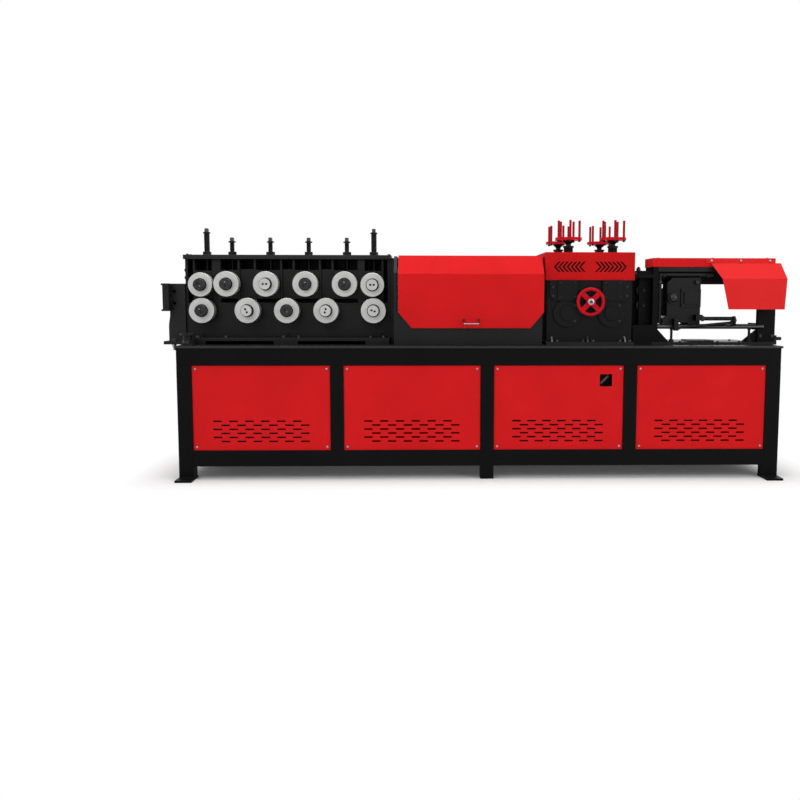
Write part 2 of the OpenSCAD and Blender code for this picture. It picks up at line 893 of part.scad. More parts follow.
// Top rails over the posts, bottom rails between the legs
module base_rails() {
  color(black)
    for (y = [y_front, y_back - rail_d]) {
      block([x_in, y, bay_z1], [x_out, y + rail_d, beam_top]);
      block([x_in + corner_post_w, y, floor_gap], [post_x[1], y + rail_d, bay_z0]);
      block([post_x[1] + inner_post_w, y, floor_gap],
        [x_out - corner_post_w, y + rail_d, bay_z0]);
    }
}

// Cross members between the front and rear frames
module base_cross_members() {
  color(black)
    for (x = [x_in, post_x[0], post_x[1], post_x[2], x_out - corner_post_w])
      let (w = abs(x) > base_l * half - 2 * corner_post_w ? corner_post_w : inner_post_w) {
        block([x, y_front + rail_d, bay_z1], [x + w, y_back - rail_d, beam_top]);
        block([x, y_front + rail_d, floor_gap], [x + w, y_back - rail_d, bay_z0]);
      }
}

// Foot plates under the corner posts with one anchor hole each
module foot_plates() {
  color(black)
    for (x = [x_in + corner_post_w * half, x_out - corner_post_w * half], s = [-1, 1])
      difference() {
        block(
          [x - foot_w * half, min(s * (y_back - rail_d), s * (y_back + foot_reach)), 0],
          [x + foot_w * half, max(s * (y_back - rail_d), s * (y_back + foot_reach)), foot_t]);
        translate([x, s * (y_back + foot_reach * half), -over])
          cylinder(d = anchor_d, h = foot_t + 2 * over);
      }
}

// Deck plate over the top rails
module deck_plate() {
  color(black)
    block([x_in - deck_lip, y_front - deck_lip, beam_top],
      [x_out + deck_lip, y_back + deck_lip, deck_z]);
}

// Staggered rows of vent slots on a panel of width w
module vents(w) {
  pitch = w * slot_pitch_share;
  run = (slot_cols - half) * pitch;
  for (r = [0:slot_rows - 1], c = [0:slot_cols - 1])
    translate([(w - run) * half + (c + ((r + 1) % 2) * half) * pitch - slot_l * half + pitch * half * half
      - slot_side, slot_low + r * slot_rise])
      square([slot_l, slot_h]);
}

// A panel pressed as a shallow tray, face towards -Y, lower corner at the origin
module panel(w, window) {
  difference() {
    cube([w, panel_fold, bay_h - 2 * panel_gap]);
    translate([panel_t, panel_t, panel_t])
      cube([w - 2 * panel_t, panel_fold, bay_h - 2 * panel_gap - 2 * panel_t]);
    plate_y(-over, panel_t + 2 * over)
      vents(w);
    if (window)
      translate([w - window_in - window_w, -over, bay_h - window_down - window_w])
        cube([window_w, panel_t + 2 * over, window_w]);
  }
}

// Four panels in the front bays
module front_panels() {
  color(red)
    for (i = [0:3])
      translate([bay_x[i] + panel_gap, y_front + panel_inset, bay_z0 + panel_gap])
        panel(bay_w[i] - 2 * panel_gap, i == 2);
}

// Four panels in the rear bays
module rear_panels() {
  color(red)
    for (i = [0:3])
      translate([bay_x[i] + bay_w[i] - panel_gap, y_back - panel_inset, bay_z0 + panel_gap])
        rotate([0, 0, 180])
          panel(bay_w[i] - 2 * panel_gap, false);
}

// One panel in each end of the base
module end_panels() {
  color(red)
    for (s = [-1, 1])
      translate([s * (x_out - panel_inset), s * (-end_bay_d * half + panel_gap), bay_z0 + panel_gap])
        rotate([0, 0, s * 90])
          panel(end_bay_d - 2 * panel_gap, false);
}

// Box with a slanting lever behind the window of the third panel
module lever_box() {
  w1 = bay_x[2] + bay_w[2] - panel_gap - window_in;
  z1 = bay_z0 + panel_gap + bay_h - window_down;
  y0 = y_front + panel_inset + panel_t;
  color(black) {
    difference() {
      block([w1 - window_w - recess_t, y0, z1 - window_w - recess_t],
        [w1 + recess_t, y0 + recess_d, z1 + recess_t]);
      block([w1 - window_w, y0 - over, z1 - window_w], [w1, y0 + recess_d - recess_t, z1]);
    }
    translate([w1 - window_w * half, y0 + recess_d - recess_t - lever_t, z1 - window_w * half])
      rotate([0, -45, 0])
        translate([-window_w * lever_share * half, 0, -lever_w * half])
          cube([window_w * lever_share, lever_t + eps, lever_w]);
  }
}

// Pads, the bed plate they carry and the shelf behind the front wall
module straightener_bed() {
  color(black) {
    block([x_in - pad_out, bed_y0, deck_z], [box_x0 + pad_l, bed_y1, bed_z]);
    for (x = [(box_x0 + box_x1 - pad_l) * half, box_x1 - pad_l])
      block([x, bed_y0, deck_z], [x + pad_l, bed_y1, bed_z]);
    block([x_in - pad_out, bed_y1 - pad_rail, deck_z], [box_x1, bed_y1, bed_z]);
    block([box_x0, bed_y0, bed_z], [box_x1, bed_y1, bed_top]);
    block([box_x0 + end_t, wall_y + wall_t, shelf_z - shelf_t], [box_x1 - end_t, box_y1, shelf_z]);
  }
}

// Front wall with small gussets at its foot, and the back plate
module straightener_walls() {
  color(black) {
    difference() {
      block([box_x0 + end_t, wall_y, bed_top], [box_x1 - end_t, wall_y + wall_t, shelf_z]);
      for (x = low_x)
        bar_y([x, wall_y - over, low_z], spigot_d + 2 * spigot_gap, wall_t + 2 * over);
    }
    for (share = wall_gusset_shares)
      plate_x(box_x0 + (box_x1 - box_x0) * share - wall_gusset_t * half, wall_gusset_t)
        polygon([[wall_y, bed_top], [wall_y - wall_gusset, bed_top], [wall_y, bed_top + wall_gusset]]);
    block([box_x0, box_y1, bed_top], [box_x1, box_y1 + back_t, top_z]);
  }
}

// End plates, guide ribs and the plates between the ribs
module straightener_ribs() {
  color(black) {
    for (x = [box_x0, box_x1 - end_t])
      block([x, wall_y, bed_top], [x + end_t, box_y1, top_z]);
    rib(up_x[0] - pockets[0] * half - rib_t, up_x[0] - pockets[0] * half);
    rib(up_x[0] + pockets[0] * half, up_x[1] - pockets[1] * half);
    for (i = [1:3]) {
      rib(up_x[i] + pockets[i] * half, up_x[i] + pockets[i] * half + rib_t);
      rib(up_x[i + 1] - pockets[i + 1] * half - rib_t, up_x[i + 1] - pockets[i + 1] * half);
      block([up_x[i] + pockets[i] * half + rib_t, block_y + filler_in, shelf_z],
        [up_x[i + 1] - pockets[i + 1] * half - rib_t, block_y + filler_in + filler_t, shelf_z + filler_h]);
    }
    rib(up_x[4] + pockets[4] * half, up_x[5] - pockets[5] * half);
    rib(up_x[5] + pockets[5] * half, up_x[5] + pockets[5] * half + rib_t);
  }
}

// A guide rib from x0 to x1
module rib(x0, x1) {
  block([x0, block_y, shelf_z], [x1, box_y1, top_z]);
}

// Top plate with a hole for each adjusting screw
module straightener_top_plate() {
  color(black)
    difference() {
      block([box_x0 - top_end_lip, wall_y - top_lip, top_z],
        [box_x1 + top_end_lip, box_y1 + back_t, top_z + top_t]);
      for (i = [0:5])
        translate([up_x[i], screw_y, top_z - over])
          cylinder(d = screws[i] + 2 * screw_gap, h = top_t + 2 * over);
    }
}

// Flanged bearings of the lower rollers in the front wall
module lower_bearings() {
  color(black)
    for (x = low_x)
      difference() {
        union() {
          bar_y([x, cap_y, low_z], cap_d, cap_t);
          bar_y([x, cap_y, low_z], spigot_d, shaft_in);
        }
        bar_y([x, cap_y - over, low_z], shaft_d + 2 * run_fit, shaft_in + 2 * over);
      }
}

// A slide block with bearing boss and adjusting screw
module adjuster(i, z, h) {
  x = up_x[i];
  w = pockets[i];
  top = z + block_h * half;
  plate = top_z + top_t;
  color(black)
    difference() {
      union() {
        block([x - w * half + slide_gap, block_y, z - block_h * half],
          [x + w * half - slide_gap, block_y + block_d, top]);
        bar_y([x, cap_y, z], min(boss_d, w - 2 * slide_gap), block_y - cap_y + eps);
        translate([x, screw_y, top - eps])
          cylinder(d = screws[i], h = plate + h - head_h - top + eps);
        translate([x, screw_y, plate + h - head_h - collar_t])
          cylinder(d = collar_d, h = collar_t);
        translate([x - head_w * half, screw_y - head_w * half, plate + h - head_h])
          cube([head_w, head_w, head_h]);
      }
      bar_y([x, cap_y - over, z], shaft_d + 2 * run_fit, shaft_in + 2 * over);
    }
}

module adjuster_1() { adjuster(0, pair_z, pair_screw_h); }
module adjuster_2() { adjuster(1, up_z, screw_h); }
module adjuster_3() { adjuster(2, up_z, screw_h); }
module adjuster_4() { adjuster(3, up_z, screw_h); }
module adjuster_5() { adjuster(4, up_z, screw_h); }
module adjuster_6() { adjuster(5, pair_z, pair_screw_h); }

// A grooved roller with hub and shaft, its axis along Y through x and z
module roller(x, z, d, turn) {
  color(steel)
    translate([x, pass_y, z])
      rotate([-90, turn, 0])
        difference() {
          rotate_extrude($fn = 96)
            polygon([
              [0, -roller_w * half - hub_l], [hub_d * half - rim_bevel, -roller_w * half - hub_l],
              [hub_d * half, -roller_w * half - hub_l + rim_bevel], [hub_d * half, -roller_w * half],
              [d * half - rim_bevel, -roller_w * half], [d * half, -roller_w * half + rim_bevel],
              [d * half, -groove_w * half], [d * half - groove_h, 0], [d * half, groove_w * half],
              [d * half, roller_w * half - rim_bevel], [d * half - rim_bevel, roller_w * half],
              [shaft_d * half, roller_w * half],
              [shaft_d * half, roller_w * half + roller_run + shaft_in],
              [0, roller_w * half + roller_run + shaft_in],
            ]);
          for (s = [-1, 1])
            translate([s * hub_hole_r, 0, -roller_w * half - hub_l - over])
              cylinder(d = hub_hole_d, h = hub_hole_h + over);
        }
}

module upper_roller_1() { roller(pair_x0, pair_z, pinch_d, up_turn[0]); }
module upper_roller_2() { roller(stagger_x[0], up_z, roller_d, up_turn[1]); }
module upper_roller_3() { roller(stagger_x[1], up_z, roller_d, up_turn[2]); }
module upper_roller_4() { roller(stagger_x[2], up_z, roller_d, up_turn[3]); }
module upper_roller_5() { roller(stagger_x[3], up_z, roller_d, up_turn[4]); }
module upper_roller_6() { roller(pair_x1, pair_z, pinch_d, up_turn[5]); }
module lower_roller_1() { roller(low_x[0], low_z, roller_d, low_turn[0]); }
module lower_roller_2() { roller(low_x[1], low_z, roller_d, low_turn[1]); }
module lower_roller_3() { roller(low_x[2], low_z, roller_d, low_turn[2]); }
module lower_roller_4() { roller(low_x[3], low_z, roller_d, low_turn[3]); }
module lower_roller_5() { roller(low_x[4], low_z, roller_d, low_turn[4]); }

// Plate that carries the inlet guide, widening to its foot in a soft curve
module inlet_bracket() {
  x0 = box_x0 - bracket_w;
  y0 = wall_y - bracket_front;
  steps = 8;
  color(black)
    difference() {
      plate_y(y0, bracket_t)
        polygon(concat(
          [[box_x0, pass_z + guide_h * half], [x0, pass_z + guide_h * half]],
          [for (i = [0:steps])
            [x0 - bracket_flare * (1 - cos(180 * i / steps)) * half,
              bed_z + bracket_knee * (2 - i / steps)]],
          [[x0 - bracket_flare, bed_z], [box_x0, bed_z]]));
      for (s = [-1, 1])
        bar_y([box_x0 - bracket_hole_in, y0 - over, pass_z + s * bracket_hole_up],
          bracket_hole_d, bracket_hole_h + over);
    }
}

// Guide block with a funnel mouth
module inlet_guide() {
  y1 = wall_y - bracket_front;
  y0 = y1 - guide_d;
  color(black)
    difference() {
      union() {
        block([guide_x0, y0, pass_z - guide_h * half], [guide_x1, y1, pass_z + guide_h * half]);
        for (z = [pass_z - guide_h * half, pass_z + guide_h * half - guide_lip_t])
          block([guide_x0 - guide_lip, y0, z], [guide_x1, y1, z + guide_lip_t]);
      }
      bar_path(guide_x0, guide_x1);
      translate([guide_x0 - eps, pass_y, pass_z])
        rotate([0, 90, 0])
          cylinder(r1 = path_r + mouth_w, r2 = path_r, h = mouth_l);
    }
}

// Short clamp jack on the deck beside the inlet
module clamp_jack() {
  color(black)
    translate([x_in + jack_x, y_front + jack_y, deck_z])
      rotate_extrude()
        polygon([
          [0, 0], [jack_d * half, 0], [jack_d * half, jack_t], [jack_post_d * half, jack_t],
          [jack_post_d * half, jack_h - jack_t], [jack_d * half, jack_h - jack_t],
          [jack_d * half, jack_h], [0, jack_h],
        ]);
}

// Points where the hood's sheet bends, moved inwards by g
function hood_low(g) = [hood_y0 + g, hood_z1 - hood_bevel_z - g * tan((90 - bevel_a) * half)];
function hood_top(g) = [hood_y0 + hood_bevel_y + g * tan(bevel_a * half), hood_z1 - g];

// Outline of a plate that follows the hood from inside, between two depths
module end_outline(y0, y1) {
  g = hood_t + seat_gap;
  a = hood_low(g);
  b = hood_top(g);
  polygon([
    [y0, deck_z], [y1, deck_z], [y1, b[1]],
    b,
    [y0, a[1] + (y0 - a[0]) * (b[1] - a[1]) / (b[0] - a[0])],
  ]);
}

// Walls of the drum housing, with a plate that closes the gap to the straightener
module housing_walls() {
  y0 = hood_y0 + hood_t + skin_gap;
  x0 = hood_x0 - skin_gap - end_wall_t;
  color(black) {
    block([x0, y0, deck_z], [bulk_x1 + bulk_t, y0 + skin_t, deck_z + skin_h]);
    block([bulk_x0, rear_y, deck_z], [bulk_x1 + bulk_t, rear_y + skin_t, pin_z - knuckle_d]);
    block([box_x1, wall_y, deck_z], [x0, wall_y + skin_t, top_z]);
    difference() {
      plate_x(x0, end_wall_t)
        end_outline(y0, rear_y + skin_t);
      bar_path(x0, x0 + end_wall_t);
    }
  }
}

// Bearing plates that close the housing's ends and carry the hood
module bearing_plates() {
  color(black)
    for (x = [bulk_x0, bulk_x1])
      difference() {
        plate_x(x, bulk_t)
          end_outline(hood_y0 + hood_t + skin_gap + skin_t, rear_y);
        bar_x([x - over, pass_y, pass_z], drum_shaft_d + 2 * spigot_gap, bulk_t + 2 * over);
      }
}

// Flanged bearings inside the bearing plates
module drum_bearings() {
  color(black)
    for (x = [bulk_x0 + bulk_t, bulk_x1 - bearing_t])
      difference() {
        bar_x([x, pass_y, pass_z], bearing_d, bearing_t);
        bar_x([x - over, pass_y, pass_z], drum_shaft_d + 2 * run_fit, bearing_t + 2 * over);
      }
}

// Hollow straightening drum with dies and belt pulley
module drum() {
  dies = 5;
  step = (drum_l - 2 * drum_ring_t) / dies;
  color(steel)
    difference() {
      translate([drum_x0, pass_y, pass_z])
        rotate([0, 90, 0])
          union() {
            for (x = [0, drum_l - drum_ring_t])
              translate([0, 0, x])
                cylinder(r = drum_r, h = drum_ring_t);
            for (a = [0, 1, 2, 3])
              rotate([0, 0, a * 90])
                translate([tie_r, 0, drum_ring_t - eps])
                  cylinder(d = tie_d, h = drum_l - 2 * drum_ring_t + 2 * eps);
            for (i = [0:dies - 1])
              translate([0, 0, drum_ring_t + (i + half) * step - die_l * half])
                union() {
                  cylinder(d = die_d, h = die_l);
                  translate([-tie_r, -die_d * half * half, die_l * half * half])
                    cube([2 * tie_r, die_d * half, die_l * half]);
                }
            translate([0, 0, -drum_gap - bulk_t * half])
              cylinder(d = drum_shaft_d, h = drum_gap + bulk_t * half + eps);
            translate([0, 0, drum_l - eps])
              cylinder(d = drum_shaft_d, h = drum_gap + bulk_t * half + eps);
            translate([0, 0, -pulley_w])
              rotate_extrude()
                polygon([
                  [0, 0], [pulley_d * half, 0], [pulley_d * half, pulley_w * half * half],
                  [pulley_d * half - vee_h, pulley_w * half],
                  [pulley_d * half, pulley_w * (1 - half * half)], [pulley_d * half, pulley_w],
                  [0, pulley_w + eps],
                ]);
          }
      bar_path(bulk_x0, bulk_x1 + bulk_t);
    }
}

// Bent hood over the drum, hinged along its rear edge
module hood() {
  color(red) {
    difference() {
      union() {
        intersection() {
          plate_x(hood_x0, hood_l)
            polygon([
              [hood_y0, hood_z0], [hood_y0, hood_z1 - hood_bevel_z], [hood_y0 + hood_bevel_y, hood_z1],
              [hood_y1, hood_z1], [hood_y1, pin_z], [hood_y1 - hood_t, pin_z],
              [hood_y1 - hood_t, hood_z1 - hood_t],
              hood_top(hood_t),
              hood_low(hood_t),
              [hood_y0 + hood_t, hood_z0],
            ]);
          plate_y(hood_y0 - over, hood_d + 2 * over)
            polygon([
              [hood_x0 + hood_corner_x, hood_z0], [hood_x1 - hood_corner_x, hood_z0],
              [hood_x1, hood_z0 + hood_corner_z], [hood_x1, hood_z1], [hood_x0, hood_z1],
              [hood_x0, hood_z0 + hood_corner_z],
            ]);
        }
        for (x = [hood_x0 + hinge_in, hood_x1 - hinge_in - knuckle_l]) {
          bar_x([x, pin_y, pin_z], knuckle_d, knuckle_l);
          block([x, hood_y1 - hood_t, pin_z], [x + knuckle_l, pin_y, pin_z + knuckle_d * half]);
        }
      }
      for (x = [hood_x0 + hinge_in, hood_x1 - hinge_in - knuckle_l])
        bar_x([x - over, pin_y, pin_z], pin_d + 2 * run_fit, knuckle_l + 2 * over);
    }
  }
}

// Hinge pins held by ears on the rear wall
module hinge_pins() {
  color(steel)
    for (x = [hood_x0 + hinge_in, hood_x1 - hinge_in - knuckle_l]) {
      bar_x([x - ear_l, pin_y, pin_z], pin_d, knuckle_l + 2 * ear_l);
      for (e = [x - ear_gap - ear_l, x + knuckle_l + ear_gap]) {
        bar_x([e, pin_y, pin_z], knuckle_d, ear_l);
        block([e, rear_y + skin_t, pin_z - 2 * knuckle_d], [e + ear_l, pin_y, pin_z]);
      }
    }
}

// Bow handle on the hood's front
module hood_handle() {
  mid = (hood_x0 + hood_x1) * half;
  z = hood_z0 + handle_up;
  reach = sqrt(handle_out * handle_out + handle_sag * handle_sag);
  tilt = atan2(handle_sag, handle_out);
  color(chrome) {
    for (s = [-1, 1])
      bar_y([mid + s * handle_w * half, hood_y0 - handle_foot_t, z], handle_foot_d, handle_foot_t);
    translate([mid, hood_y0 - handle_foot_t * half, z])
      rotate([90 + tilt, 0, 0])
        bow(reach - handle_foot_t * half);
  }
}

// A rod bent into a bow, standing along +Z
module bow(reach) {
  straight = handle_w - 2 * handle_d;
  for (s = [-1, 1]) {
    translate([s * handle_w * half, 0, 0])
      cylinder(d = handle_d, h = reach - handle_d);
    translate([s * straight * half, 0, reach - handle_d])
      rotate([90, 0, s < 0 ? 180 : 0])
        rotate_extrude(angle = 90)
          translate([handle_d, 0])
            circle(d = handle_d);
  }
  translate([-straight * half, 0, reach])
    rotate([0, 90, 0])
      cylinder(d = handle_d, h = straight);
}

// Gearbox with gusseted foot flange, bar way and bush for the handwheel
module gearbox() {
  color(black)
    difference() {
      union() {
        block([gear_x0 - flange_x, gear_y0 - flange_y, deck_z],
          [gear_x1 + flange_x, gear_y1 + flange_y, deck_z + flange_t]);
        block([gear_x0, gear_y0, deck_z], [gear_x1, gear_y1, gear_top]);
        bar_y([gear_mid, gear_y0 - bush_l, wheel_z], bush_d, bush_l + eps);
        for (share = gear_gusset_shares)
          plate_x(gear_x0 + gear_w * share - gear_gusset_t * half, gear_gusset_t)
            polygon([
              [gear_y0 - gear_gusset, deck_z + flange_t], [gear_y1 + gear_gusset, deck_z + flange_t],
              [gear_y1, deck_z + flange_t + gear_gusset], [gear_y0, deck_z + flange_t + gear_gusset],
            ]);
      }
      bar_path(gear_x0, gear_x1);
      bar_y([gear_mid, gear_y0 - bush_l - over, wheel_z], wheel_shaft_d + 2 * run_fit, 2 * bush_l + over);
    }
}

// Bearing covers on the gearbox's front; the round ones are cut flat under the upper plates
module bearing_covers() {
  z0 = pass_z - cover_down;
  color(black)
    for (s = [-1, 1]) {
      translate([gear_mid + s * cover_half, 0, 0]) {
        plate_y(gear_y0 - cover_t, cover_t)
          polygon([
            [-s * cover_w * half, z0], [s * (cover_w * half - cover_bevel), z0],
            [s * cover_w * half, z0 + cover_bevel], [s * cover_w * half, guard_z0 - over],
            [-s * cover_w * half, guard_z0 - over],
          ]);
        translate([-s * (cover_w - slide_w - over) * half - slide_w * half,
          gear_y0 - cover_t - slide_t, z0 + over])
          cube([slide_w, slide_t + eps, guard_z0 - z0 - 3 * over]);
      }
      difference() {
        union() {
          bar_y([gear_mid + s * shaft_half, gear_y0 - cover_t, pass_z - round_down], round_d, cover_t);
          bar_y([gear_mid + s * shaft_half, gear_y0 - cover_t - slide_t, pass_z - round_down],
            round_mid_d, slide_t + eps);
        }
        block([gear_mid + s * shaft_half - round_d, gear_y0 - cover_t - slide_t - over, z0 - over],
          [gear_mid + s * shaft_half + round_d, gear_y0 + over, pass_z + round_d]);
      }
    }
}

// One group of chevrons pointing towards s
module chevrons(s) {
  for (i = [0:chevron_n - 1])
    translate([s * (-i * chevron_pitch), 0])
      polygon([
        [0, 0], [-s * chevron_reach, chevron_h * half],
        [-s * (chevron_reach + chevron_w), chevron_h * half], [-s * chevron_w, 0],
        [-s * (chevron_reach + chevron_w), -chevron_h * half], [-s * chevron_reach, -chevron_h * half],
      ]);
}

// Sheet cover over the feed shafts with chevron cut-outs
module feed_guard() {
  x0 = gear_x0 - guard_x;
  x1 = gear_x1 + guard_x;
  y0 = gear_y0 - guard_y;
  y1 = gear_y1 + guard_y;
  color(red)
    difference() {
      block([x0, y0, guard_z0], [x1, y1, guard_z1]);
      block([x0 + guard_t, y0 + guard_t, guard_z0 - over],
        [x1 - guard_t, y1 - guard_t, guard_z1 - guard_t]);
      plate_y(y0 - over, guard_t + 2 * over)
        for (s = [-1, 1])
          translate([gear_mid + s * chevron_x, guard_z1 - chevron_down])
            chevrons(s);
      for (sx = [-1, 1], y = press_y)
        translate([press_mid + sx * shaft_half, y, guard_z1 - guard_t - over])
          cylinder(d = press_d + 2 * seat_gap, h = guard_t + 2 * over);
    }
}

// Threaded bosses through which the pressing screws run
module press_bosses() {
  color(black)
    for (sx = [-1, 1], y = press_y)
      translate([press_mid + sx * shaft_half, y, 0])
        difference() {
          translate([0, 0, gear_top])
            cylinder(d = press_d, h = guard_z1 + press_h - gear_top);
          translate([0, 0, press_z])
            cylinder(d = spindle_d + 2 * run_fit, h = guard_z1 + press_h - press_z + over);
        }
}

// A pressing screw with its star disc
module press_screw(x, y, turn) {
  disc_z = guard_z1 + star_up;
  color(red)
    translate([x, y, 0]) {
      translate([0, 0, press_z + over])
        cylinder(d = spindle_d, h = disc_z - press_z);
      translate([0, 0, disc_z - swell_h])
        cylinder(d1 = spindle_d, d2 = swell_d, h = swell_h + eps);
      translate([0, 0, disc_z])
        cylinder(d = star_d, h = star_t);
      for (i = [0:star_pins - 1])
        rotate([0, 0, turn - 90 + i * 360 / star_pins])
          translate([star_pin_r, 0, disc_z - star_pin_low])
            cylinder(d = star_pin_d, h = star_pin_low + star_t + star_pin_h);
    }
}

module press_screw_1() { press_screw(press_mid - shaft_half, press_y[0], 0); }
module press_screw_2() { press_screw(press_mid + shaft_half, press_y[0], 0); }
module press_screw_3() { press_screw(press_mid - shaft_half, press_y[1], star_turn); }
module press_screw_4() { press_screw(press_mid + shaft_half, press_y[1], star_turn); }

// Spoked handwheel with its shaft
module handwheel() {
  y = gear_y0 - wheel_out;
  color(red)
    translate([gear_mid, y, wheel_z])
      rotate([90, 0, 0]) {
        rotate_extrude($fn = 96)
          translate([(wheel_d - wheel_rim) * half, 0])
            circle(d = wheel_rim, $fn = 48);
        translate([0, 0, -wheel_hub_l * half])
          cylinder(d = wheel_hub_d, h = wheel_hub_l);
        for (i = [0:spokes - 1])
          rotate([0, 0, (i + half) * 360 / spokes])
            translate([0, -spoke_w * half, -spoke_t * half])
              cube([(wheel_d - wheel_rim) * half, spoke_w, spoke_t]);
        translate([0, 0, -wheel_out - bush_l * half])
          cylinder(d = wheel_shaft_d, h = wheel_out + bush_l * half);
      }
}

// Pedestal, back plate, clamp plates and measuring wheels behind a cheek plate
module measuring_unit() {
  x1 = left_x0;
  mid = x1 - meas_in;
  front = pass_y - meas_w * half;
  back = pass_y + meas_w * half;
  color(black) {
    block([ped_x0, cut_y0, deck_z], [x1, cut_y1, deck_z + ped_h]);
    block([ped_x0, back, deck_z + ped_h], [x1, back + meas_t, pass_z + clamp_up + 2 * clamp_t]);
    for (i = [0, 1])
      block([ped_x0 + i * clamp_t, cut_y0 + i * clamp_t, pass_z + clamp_up + i * clamp_t],
        [x1, back, pass_z + clamp_up + (i + 1) * clamp_t]);
    for (s = [-1, 1])
      bar_y([mid, front, pass_z + s * (meas_gap + meas_d) * half], meas_d, meas_w);
    block([x1 - cheek_l, front - cheek_t, deck_z + ped_h], [x1, front, pass_z + clamp_up]);
  }
}

// Posts of the cutter frame, the left one with the fixed knife block
module cutter_posts() {
  z0 = deck_z + cut_bed_t;
  y1 = rod_y + right_post_t;
  beam_z = pass_z + beam_up - beam_h;
  color(black) {
    difference() {
      union() {
        block([left_x0, cut_y0, z0], [left_x1, cut_y1, post_top]);
        block([left_x1 - eps, pass_y - knife_w * half, pass_z - knife_h * half],
          [left_x1 + knife_l, pass_y + knife_w * half, pass_z + knife_h * half]);
        plate_y(cut_y0, gusset_t)
          polygon([[left_x1, z0], [left_x1 + gusset_l, z0], [left_x1, z0 + gusset_h]]);
      }
      bar_path(left_x0, left_x1 + knife_l);
    }
    difference() {
      union() {
        block([right_x0, rod_y, z0], [right_x1, y1, beam_z]);
        block([right_x0, cut_y0, beam_z - over], [cap_x1 - over, cut_y1, post_top]);
        block([right_x0, rod_y, rod_z - cross_h * half],
          [right_x0 + cross_l, pass_y + rod_half + cross_h * half, rod_z + cross_h * half]);
        plate_y(y1 - gusset_t, gusset_t)
          polygon([[right_x0, z0], [right_x0, z0 + gusset_h], [right_x0 - gusset_r, z0]]);
      }
      bar_x([right_x0 - over, rod_y, rod_z], rod_d + 2 * run_fit, rod_tail + 2 * over);
    }
  }
}

// Bed plate of the cutter with a raised strip and an end stop
module cutter_bed() {
  z0 = deck_z + cut_bed_t;
  color(black) {
    block([left_x0, cut_y0, deck_z], [cut_bed_x1, cut_y1, z0]);
    block([left_x1 + hump_x, cut_y0 + hump_h, z0 - eps],
      [left_x1 + hump_x + hump_l, cut_y1 - hump_h, z0 + hump_h]);
    block([right_x1, rod_y, deck_z], [right_x1 + stop_t, rod_y + right_post_t, z0 + stop_h]);
    bar_x([right_x1 + stop_t - eps, rod_y + right_post_t * half, z0 + stop_h * half],
      stop_rod_d, stop_rod_l + eps);
  }
}

// Lower guide rods with struts, bent upper pipe, front and rear beams
module guide_rods() {
  z0 = deck_z + cut_bed_t;
  tie_z = pass_z + tie_rod_up;
  leg_x = left_x1 + leg_in;
  leg_z = rod_z + rod_d * half + leg_gap;
  color(steel) {
    bar_x([left_x1, rod_y, rod_z], rod_d, cut_l + rod_tail);
    bar_x([left_x1, pass_y + rod_half, rod_z], rod_d, cut_l);
    block([left_x1, cut_y1 - beam_d, pass_z + beam_up - beam_h], [right_x0, cut_y1, pass_z + beam_up]);
    block([left_x1, cut_y0, post_top - front_beam_h], [right_x0, cut_y0 + front_beam_d, post_top]);
    translate([leg_x, rod_y, leg_z])
      cylinder(d = tie_rod_d, h = tie_z - leg_z);
    block([left_x1, rod_y - tie_rod_d * half * half, pass_z + clip_h],
      [leg_x, rod_y + tie_rod_d * half * half, pass_z + 2 * clip_h]);
    bar_x([leg_x, rod_y, tie_z], tie_rod_d, tie_rod_l);
    bar_y([leg_x + tie_rod_l, rod_y, tie_z], tie_rod_d, cut_y1 - beam_d - rod_y + eps);
    for (x = [leg_x, leg_x + tie_rod_l])
      translate([x, rod_y, tie_z])
        sphere(d = tie_rod_d);
    for (x = [left_x1 + strut_in, right_x0 - strut_out])
      translate([x, rod_y, z0]) {
        cylinder(d = strut_d, h = rod_z - z0);
        cylinder(d = strut_foot_d, h = strut_foot_h);
        translate([0, 0, rod_z - z0 - rod_d * half - strut_foot_h * half])
          cylinder(d1 = strut_d, d2 = strut_foot_d, h = strut_foot_h);
      }
  }
}

